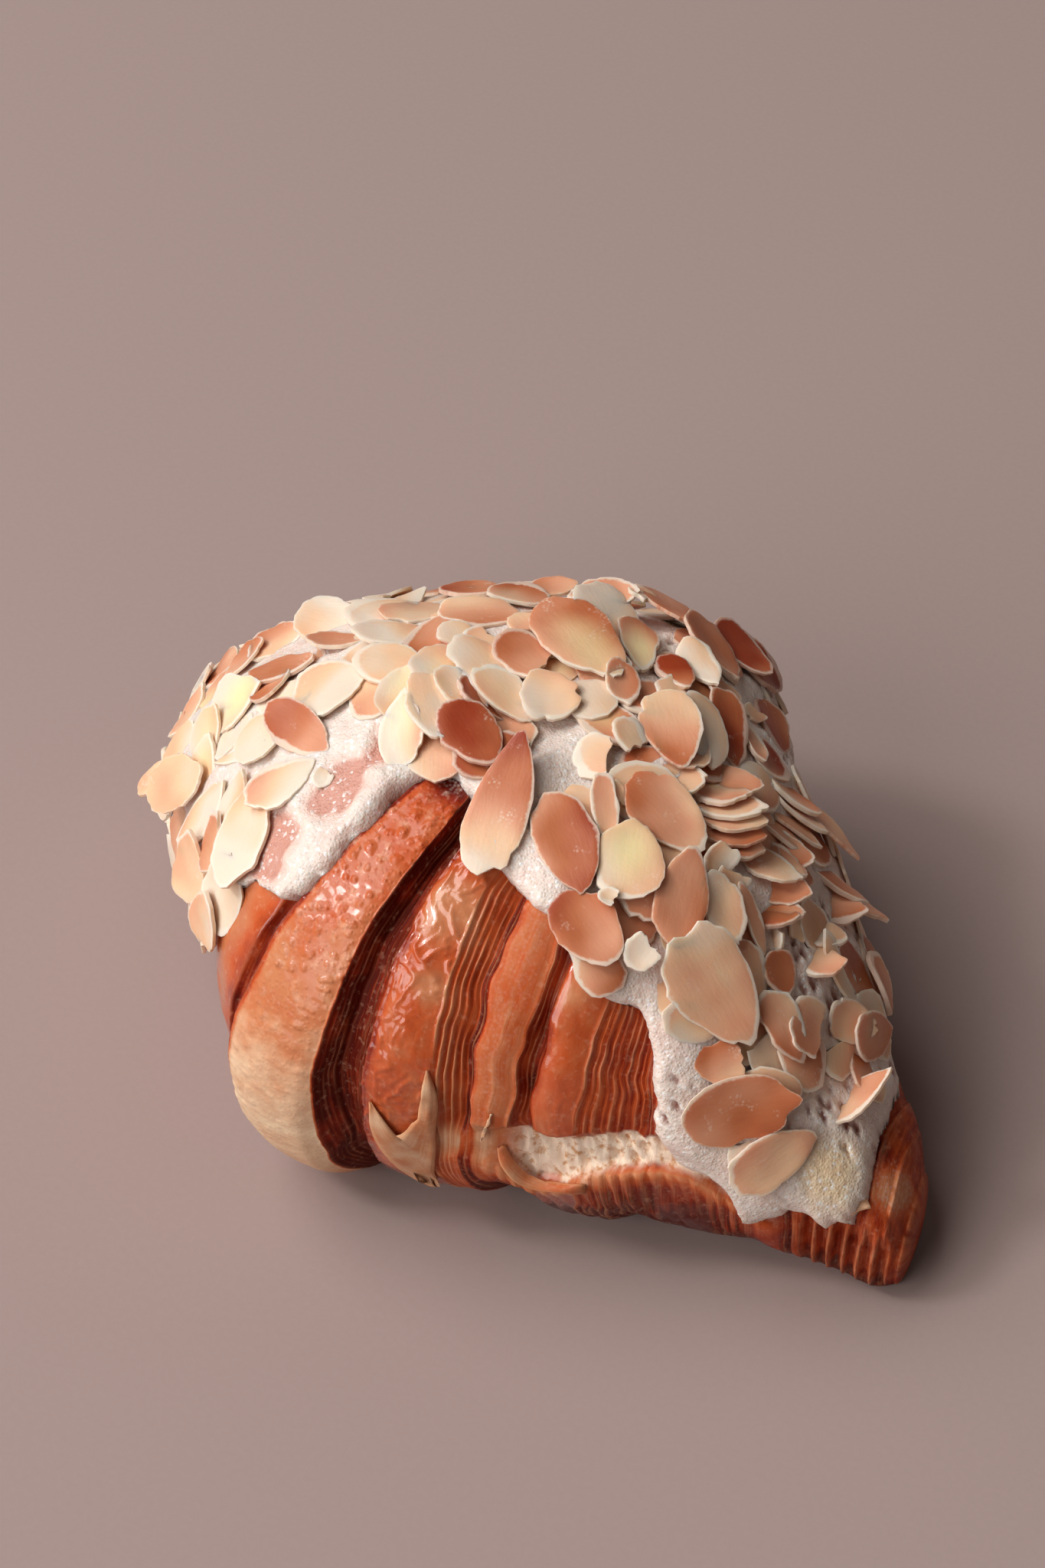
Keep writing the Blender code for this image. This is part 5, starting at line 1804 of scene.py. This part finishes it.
@dataclass
class Almonds:
    """All the flaked almonds: those that the picture shows, and a seeded scatter elsewhere.

    Attributes:
        shown_form: Mesh of the flakes that the picture shows.
        strewn_form: Coarser mesh of the others.
        thickness: Mm.
        overhang: Height where there is no ground, in mm.
        sink: Height of a resting flake's middle, in thicknesses.
        spacing: Least mm between scattered flakes.
        clearance: Pixels that the scatter keeps from shown flakes.
        tries: Draws of the scatter.
        upturn: How far the shown flakes turn towards the viewer.
        stretch: Most that a shown flake is lengthened for its slope.
        slide: Most that a shown flake is moved to show in its place, in mm.
        settle: Depth to which a flake settles into the cream, in mm.
        sunk: How much deeper at the far horn, by mm across the part.
        heap: Most that a strewn flake may lie above the cream, in mm.
        bare: Pixel zones (across, down, radius) that the scatter leaves bare.
        seed: Seed of the draw.
    """

    shown_form: SlabForm = SlabForm(14, 10)
    strewn_form: SlabForm = SlabForm(6, 4)
    thickness: float = 0.82
    overhang: float = -1.6
    sink: float = 0.2
    spacing: float = 5.6
    clearance: float = 32.0
    tries: int = 4200
    upturn: float = 0.4
    stretch: float = 1.18
    slide: float = 2.5
    settle: float = 0.55
    sunk: Knots = ((-52, 1.3), (-34, 0))
    heap: float = 1.7
    bare: tuple[Zone, ...] = (
        (690, 1150, 90), (720, 990, 70), (870, 1420, 90), (400, 1090, 100),
        (1080, 1270, 60), (1090, 1460, 80), (480, 980, 70), (820, 1310, 60),
        (770, 1170, 50), (400, 1000, 70), (985, 1570, 75), (1060, 1550, 50),
    )
    seed: int = 3

    def __post_init__(self) -> None:
        """Make the flakes' meshes and the store of laid flakes."""
        self.random = np.random.default_rng(self.seed)
        self.noise = SmoothNoise(self.seed + 1)
        self.forms = {form: form.make() for form in (self.shown_form, self.strewn_form)}
        self.laid: dict[Cut, list[dict[str, Any]]] = {cut: [] for cut in Cut}
        self.trees: list[tuple[Vector, BVHTree]] = []

    def cut_out(self, flake: Flake, form: SlabForm) -> tuple[Array, Looks]:
        """Shape one flake lying flat at the origin.

        Args:
            flake: Its size, tone and cut.
            form: The mesh that it is bent from.

        Returns:
            Rows of coordinates in mm, and its looks.
        """
        draw, (_, flat, level) = self.random, self.forms[form]
        x, y = (np.sign(part) * (1.0 - (1.0 - np.abs(part)) ** 1.5) for part in flat.T)
        u, v = x * np.sqrt(1 - y * y / 2), y * np.sqrt(1 - x * x / 2)
        reach, angle = np.hypot(u, v), np.arctan2(v, u)
        seed = draw.uniform(0.0, 40.0)
        field = rows(2.0 * np.cos(angle) + seed, 2.0 * np.sin(angle), np.zeros(len(x)))
        outline = 1.0 + 0.07 * self.noise.at(field) + 0.045 * self.noise.at(field * 3.1)
        for _ in range(draw.integers(1, 5)):
            gap = np.abs((angle - draw.uniform(-3.1, 3.1) + math.pi) % (2 * math.pi) - math.pi)
            outline -= draw.uniform(0.03, 0.14) * np.exp(-((gap / draw.uniform(0.08, 0.30)) ** 2))
        radius = np.hypot(np.cos(angle) * flake.length, np.sin(angle) * flake.width) / 2
        heel = held(np.cos(angle - draw.uniform(-math.pi, math.pi))) ** 2
        rim = (1.0 - reach) * radius + draw.uniform(-0.15, 0.45) - draw.uniform(0.2, 1.2) * heel
        ragged = 1.0 + reach**3 * (outline - 1.0)
        taper, point = draw.uniform(0.10, 0.30), draw.uniform(0.05, 0.55)
        u, v = u * ragged, v * ragged
        v = v * (1.0 - taper * u) * (1.0 - point * held(u) ** 3)
        if flake.cut is Cut.BROKEN:
            jag = self.noise.at(rows(3 * v + seed, v, v), 2)
            limit = draw.uniform(0.05, 0.45) + 0.12 * jag + draw.uniform(-0.45, 0.45) * v
            u = np.minimum(u, limit)
        bent, cup, twist = draw.uniform(-0.55, 0.95), draw.uniform(-0.2, 0.5), draw.uniform(-0.5, 0.5)
        thick = self.thickness * draw.uniform(0.8, 1.25)
        worn = 1.0 - 0.3 * held((reach - 0.90) / 0.10) ** 1.5
        z = level * 0.5 * thick * worn
        z += bent * u * u + cup * v * v + twist * u * v
        uneven = rows(u * flake.length / 6.0 + seed, v * flake.width / 6.0, 0.0 * u)
        z += 0.14 * self.noise.at(uneven, 2)
        toast, side = draw.uniform(0.0, 0.30), draw.uniform(-math.pi, math.pi)
        if flake.toast is not None:
            toast, side = flake.toast, 0.0
        tone = flake.tone + toast * (u * math.cos(side) + v * math.sin(side))
        shape = rows(u * flake.length / 2, v * flake.width / 2, z)
        number = sum(len(laid) for laid in self.laid.values())
        local = rows(shape[:, 0], shape[:, 1], np.full(len(u), 9.0 * number))
        heart = flake.heart * held(1.2 - 1.3 * np.hypot(u - 0.2, v))
        return shape, {"rim": rim, "tone": tone, "heart": heart, "local": local}

    def keep(self, flake: Flake, form: SlabForm, shape: Array, looks: Looks,
             place: Vector, axes: tuple[Vector, Vector, Vector]) -> None:
        """Put a shaped flake in its place and remember it.

        Args:
            flake: The flake.
            form: The mesh that it is bent from.
            shape: Its coordinates in mm.
            looks: Its looks.
            place: Where its origin goes.
            axes: Directions of its length, its width and its face.
        """
        points = np.array(place) + (shape @ np.array(axes)) * MM
        mesh = self.forms[form][0]
        faces = [tuple(face.vertices) for face in mesh.polygons]
        self.trees.append((place.copy(), BVHTree.FromPolygons(points.tolist(), faces)))
        self.laid[flake.cut].append({"form": form, "points": points, **looks})

    def lay(self, place: Vector, normal: Vector, along: Vector, flake: Flake, form: SlabForm,
            ground: BVHTree, ray: Vector | None = None) -> bool:
        """Lay one flake so that it rests on the cream and on the flakes already there.

        Args:
            place: Point of the ground under its middle.
            normal: Outward direction there.
            along: Direction of its long axis.
            flake: Its size and looks.
            form: The mesh that it is bent from.
            ground: The cream's surface.
            ray: Direction from the viewpoint in which its middle shows, if the picture shows it.

        Returns:
            Whether it was laid; a strewn flake that would lie too high is left out.
        """
        z_axis = normal.normalized()
        x_axis = (along - z_axis * along.dot(z_axis)).normalized()
        y_axis = z_axis.cross(x_axis)
        shape, looks = self.cut_out(flake, form)
        near = [tree for centre, tree in self.trees if (centre - place).length < 0.022]
        settle = self.settle + straight(self.sunk, place.x / MM) * (0.3 if ray is None else 1.0)
        spots, lift = [], 9.0
        for share in (0, 0.5, 0.95) if ray is None else (0, 0.3, 0.6, 0.95):
            for turn in range(1 if share == 0.0 else 8):
                angle = turn * math.pi / 4
                x = 0.5 * flake.length * share * math.cos(angle)
                y = 0.5 * flake.width * share * math.sin(angle)
                start = place + (x_axis * x + y_axis * y + z_axis * lift) * MM
                height = self.overhang
                for tree, soft in ((ground, settle), *((tree, 0.0) for tree in near)):
                    hit = tree.ray_cast(start, -z_axis, 0.014)
                    if hit[0] is not None:
                        height = max(height, lift - hit[3] / MM - soft)
                spots.append((x, y, height))
        base, slope = self.rest(np.array(spots))
        if ray is None and base > self.heap:
            return False
        shape[:, 2] += base + slope[0] * shape[:, 0] + slope[1] * shape[:, 1]
        if ray is not None:
            reach = (place - VIEW.axes()[0]).dot(z_axis) + base * MM
            seen = VIEW.axes()[0] + ray * (reach / ray.dot(z_axis)) - z_axis * base * MM
            place = place + (seen - place) * min(1.0, self.slide * MM / (seen - place).length)
        self.keep(flake, form, shape, looks, place, (x_axis, y_axis, z_axis))
        return True

    def rest(self, spots: Array) -> tuple[float, Array]:
        """How a flat flake comes to rest on what is under it.

        Args:
            spots: Rows of mm along the flake, mm across it and the height found there.

        Returns:
            The height of its middle and its slope along and across.
        """
        heights = spots[:, 2]
        system = rows(np.ones(len(spots)), spots[:, :2])
        weights = np.where(heights > self.overhang, 1.0, 0.15)
        fit = np.zeros(3)
        for _ in range(3):
            fit, *_ = np.linalg.lstsq(system * weights[:, None], heights * weights, rcond=None)
            weights = np.where(heights > system @ fit + 0.1, 2.5, weights)
        slope = np.clip(fit[1:], -0.3, 0.3)
        over = heights - spots[:, :2] @ slope
        return float(np.max(over)) + self.sink * self.thickness, slope

    def lay_shown(self, ground: BVHTree) -> None:
        """Lay the flakes that the picture shows."""
        _, back, right, up = VIEW.axes()
        for flake in SHOWN_FLAKES:
            place, normal, ray = self.landing(ground, flake.across, flake.down)
            turn = math.radians(flake.turn)
            facing = right * math.cos(turn) + up * math.sin(turn)
            if flake.lean is None:
                normal = (self.calm(ground, place, normal) + back * self.upturn).normalized()
                along, over = (aim - ray * (normal.dot(aim) / normal.dot(ray))
                               for aim in (facing, back.cross(facing)))
                real = replace(flake, length=flake.length * min(along.length, self.stretch),
                               width=flake.width * min(over.length, self.stretch))
                self.lay(place, normal, along, real, self.shown_form, ground, ray)
                continue
            lean = math.radians(flake.lean)
            face = back * math.cos(lean) + back.cross(facing) * math.sin(lean)
            lift = (0.12 * flake.width * math.sin(lean) + 0.5 * self.thickness) * MM
            shape, looks = self.cut_out(flake, self.shown_form)
            axes = (facing, face.cross(facing), face)
            self.keep(flake, self.shown_form, shape, looks, place + back * lift, axes)

    def landing(self, ground: BVHTree, across: float, down: float) -> tuple[Vector, Vector, Vector]:
        """Where a pixel's ray meets the ground, or passes beside it at the nearest depth.

        Args:
            ground: The cream's surface.
            across: Pixel across.
            down: Pixel down.

        Returns:
            The place, the ground's outward direction there and the ray.
        """
        eye = VIEW.axes()[0]
        for step in range(40):
            share = step / 40.0
            _, probe = VIEW.ray(across + (740.0 - across) * share, down + (1120.0 - down) * share)
            place, normal, _, _ = ground.ray_cast(eye, probe)
            if place is not None:
                beside = eye + VIEW.ray(across, down)[1] * (place - eye).length - place
                reach = min(1.0, self.slide * MM / max(beside.length, MM / 10))
                return place + beside * reach, normal, probe
        raise ValueError("the flake's pixel is far from the cream")

    @staticmethod
    def calm(ground: BVHTree, place: Vector, normal: Vector) -> Vector:
        """The ground's direction evened out over a flake's size."""
        total = normal.copy()
        side = normal.orthogonal().normalized()
        other = normal.cross(side)
        for turn in range(8):
            angle = turn * math.pi / 4
            spoke = side * math.cos(angle) + other * math.sin(angle)
            hit = ground.ray_cast(place + (spoke * 3.5 + normal * 4.0) * MM, -normal, 0.012)
            if hit[0] is not None:
                total += hit[1]
        return total.normalized()

    def scatter(self, cream: Cream, ground: BVHTree) -> None:
        """Strew flakes over the rest of the cream."""
        draw = self.random
        eye = VIEW.axes()[0]
        centres: list[Vector] = []
        s = draw.uniform(cream.far_end + 4.0, cream.near_end - 4.0, self.tries)
        theta = draw.uniform(-92.0, 108.0, self.tries)
        inset = cream.inset(s, theta)
        outside = ROLL.point(s, theta, np.full_like(s, -30.0))
        inside = ROLL.point(s, theta, np.zeros_like(s))
        for number in np.flatnonzero(inset > 2.0):
            start = Vector(outside[number])
            place, normal, _, _ = ground.ray_cast(start, (Vector(inside[number]) - start).normalized())
            if place is None:
                continue
            if centres and min((place - centre).length for centre in centres) < self.spacing * MM:
                continue
            if normal.dot((eye - place).normalized()) > 0.05 and self.taken(place):
                continue
            side = normal.orthogonal().normalized()
            turn = draw.uniform(0.0, math.pi)
            along = side * math.cos(turn) + normal.cross(side) * math.sin(turn)
            kind = draw.choice([Cut.WHOLE, Cut.BROKEN, Cut.SLIVER], p=[0.60, 0.34, 0.06])
            narrow = 3.0 if kind is Cut.SLIVER else draw.uniform(7.5, 10.0)
            tone = float(np.clip(draw.normal(0.18 if s[number] < -30.0 else 0.38, 0.20), 0.03, 0.9))
            flake = Flake(0, 0, draw.uniform(9.5, 15.0), narrow, 0.0, tone,
                          max(0.0, draw.uniform(-3.0, 0.7)), None, kind)
            if self.lay(place, self.calm(ground, place, normal), along, flake, self.strewn_form, ground):
                centres.append(place.copy())

    def taken(self, place: Vector) -> bool:
        """Whether a place that the picture shows is bare there, or has a shown flake near it."""
        across, down = (float(value[0]) for value in VIEW.pixels(np.array([place])))
        if any(math.hypot(across - x, down - y) < radius for x, y, radius in self.bare):
            return True
        return any(math.hypot(across - flake.across, down - flake.down) < self.clearance
                   for flake in SHOWN_FLAKES)

    def pieces(self, finish: bpy.types.Material) -> list[bpy.types.Object]:
        """Join the laid flakes of each kind into one piece.

        Args:
            finish: The flakes' material.

        Returns:
            One piece for each kind.
        """
        made = []
        for cut, laid in self.laid.items():
            bm = bmesh.new()
            for flake in laid:
                bm.from_mesh(self.forms[flake["form"]][0])
            points = np.vstack([flake["points"] for flake in laid])
            looks = {key: np.concatenate([flake[key] for flake in laid])
                     for key in ("rim", "tone", "heart", "local")}
            mesh = mesh_from(bm, cut.value, points, looks)
            turn_out(mesh)
            mesh.set_sharp_from_angle(angle=math.radians(38))
            made.append(add_piece(mesh, finish))
            LOG.info("%s: %d flakes", cut.value, len(laid))
        for mesh, _, _ in self.forms.values():
            bpy.data.meshes.remove(mesh)
        return made


# ---- floor and light


@dataclass(frozen=True)
class Lamp:
    """A round, soft lamp that points at the roll.

    Attributes:
        name: Its name.
        azimuth: Turn round the roll in degrees, as for the viewpoint.
        elevation: Height above the horizon in degrees.
        distance: From the roll in metres.
        size: Across in metres.
        power: In watts.
    """

    name: str
    azimuth: float
    elevation: float
    distance: float
    size: float
    power: float

    def hang(self) -> None:
        """Put the lamp in the scene."""
        turn, rise = math.radians(self.azimuth), math.radians(self.elevation)
        level = math.cos(rise)
        away = Vector((math.sin(turn) * level, -math.cos(turn) * level, math.sin(rise)))
        data = bpy.data.lights.new(self.name, "AREA")
        data.shape = "DISK"
        data.size = self.size
        data.energy = self.power
        lamp = bpy.data.objects.new(self.name, data)
        lamp.location = away * self.distance
        lamp.rotation_euler = away.to_track_quat("Z", "Y").to_euler()
        bpy.context.collection.objects.link(lamp)


@dataclass(frozen=True)
class Studio:
    """A plain floor and the light of a wide window at the left, with little light from elsewhere."""

    floor_colour: Colour = srgb(160, 138, 132)
    floor_size: float = 6.0
    lamps: tuple[Lamp, ...] = (
        Lamp("window_top", 300.0, 56.0, 2.4, 2.0, 41.0),
        Lamp("window_front", 353.0, 32.0, 2.4, 1.8, 30.0),
        Lamp("window_pane", 318.0, 48.0, 2.4, 0.42, 15.0),
    )
    sky: Colour = (1, 0.88, 0.80)
    sky_strength: float = 0.10

    def build(self) -> None:
        """Lay the floor and set the lights."""
        bm = bmesh.new()
        bmesh.ops.create_grid(bm, x_segments=1, y_segments=1, size=self.floor_size / 2)
        mesh = bpy.data.meshes.new("floor")
        bm.to_mesh(mesh)
        bm.free()
        material, wiring, shader = new_material("floor")
        grain = wiring.remap(wiring.noise(wiring.place(), 900.0, 2.0), 0.3, 0.7)
        darker = tuple(0.97 * part for part in self.floor_colour)
        wiring.feed(shader.inputs["Base Color"], wiring.mix(grain, self.floor_colour, darker))
        shader.inputs["Roughness"].default_value = 0.85
        mesh.materials.append(material)
        floor = bpy.data.objects.new("floor", mesh)
        bpy.context.collection.objects.link(floor)
        for lamp in self.lamps:
            lamp.hang()
        world = bpy.data.worlds.new("studio")
        world.use_nodes = True
        background = world.node_tree.nodes["Background"]
        background.inputs["Color"].default_value = (*self.sky, 1.0)
        background.inputs["Strength"].default_value = self.sky_strength
        bpy.context.scene.world = world
        bpy.context.scene.view_settings.view_transform = "Standard"


def write_sizes() -> None:
    """Update the view layer."""
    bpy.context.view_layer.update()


def main() -> None:
    """Build the dressed croissant, its floor, light and camera."""
    logging.basicConfig(level=logging.INFO, format="%(message)s")
    grain = sugar_grain_group()
    bread_mesh = Bread().build()
    crust = CrustFinish().make(grain)
    bread = add_piece(bread_mesh, crust)
    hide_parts("croissant")
    add_piece(LooseCrust().build(mesh_tree(bread_mesh)), crust)
    cream_layer = Cream()
    cream_mesh = cream_layer.build()
    cream = add_piece(cream_mesh, CreamFinish().make(grain))
    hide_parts("almond_topping")
    ground = mesh_tree(cream_mesh)
    almonds = Almonds()
    almonds.scatter(cream_layer, ground)
    almonds.lay_shown(ground)
    almonds.pieces(FlakeFinish().make(grain))
    Studio().build()
    VIEW.place_camera()
    write_sizes()


if __name__ == "__main__":
    main()
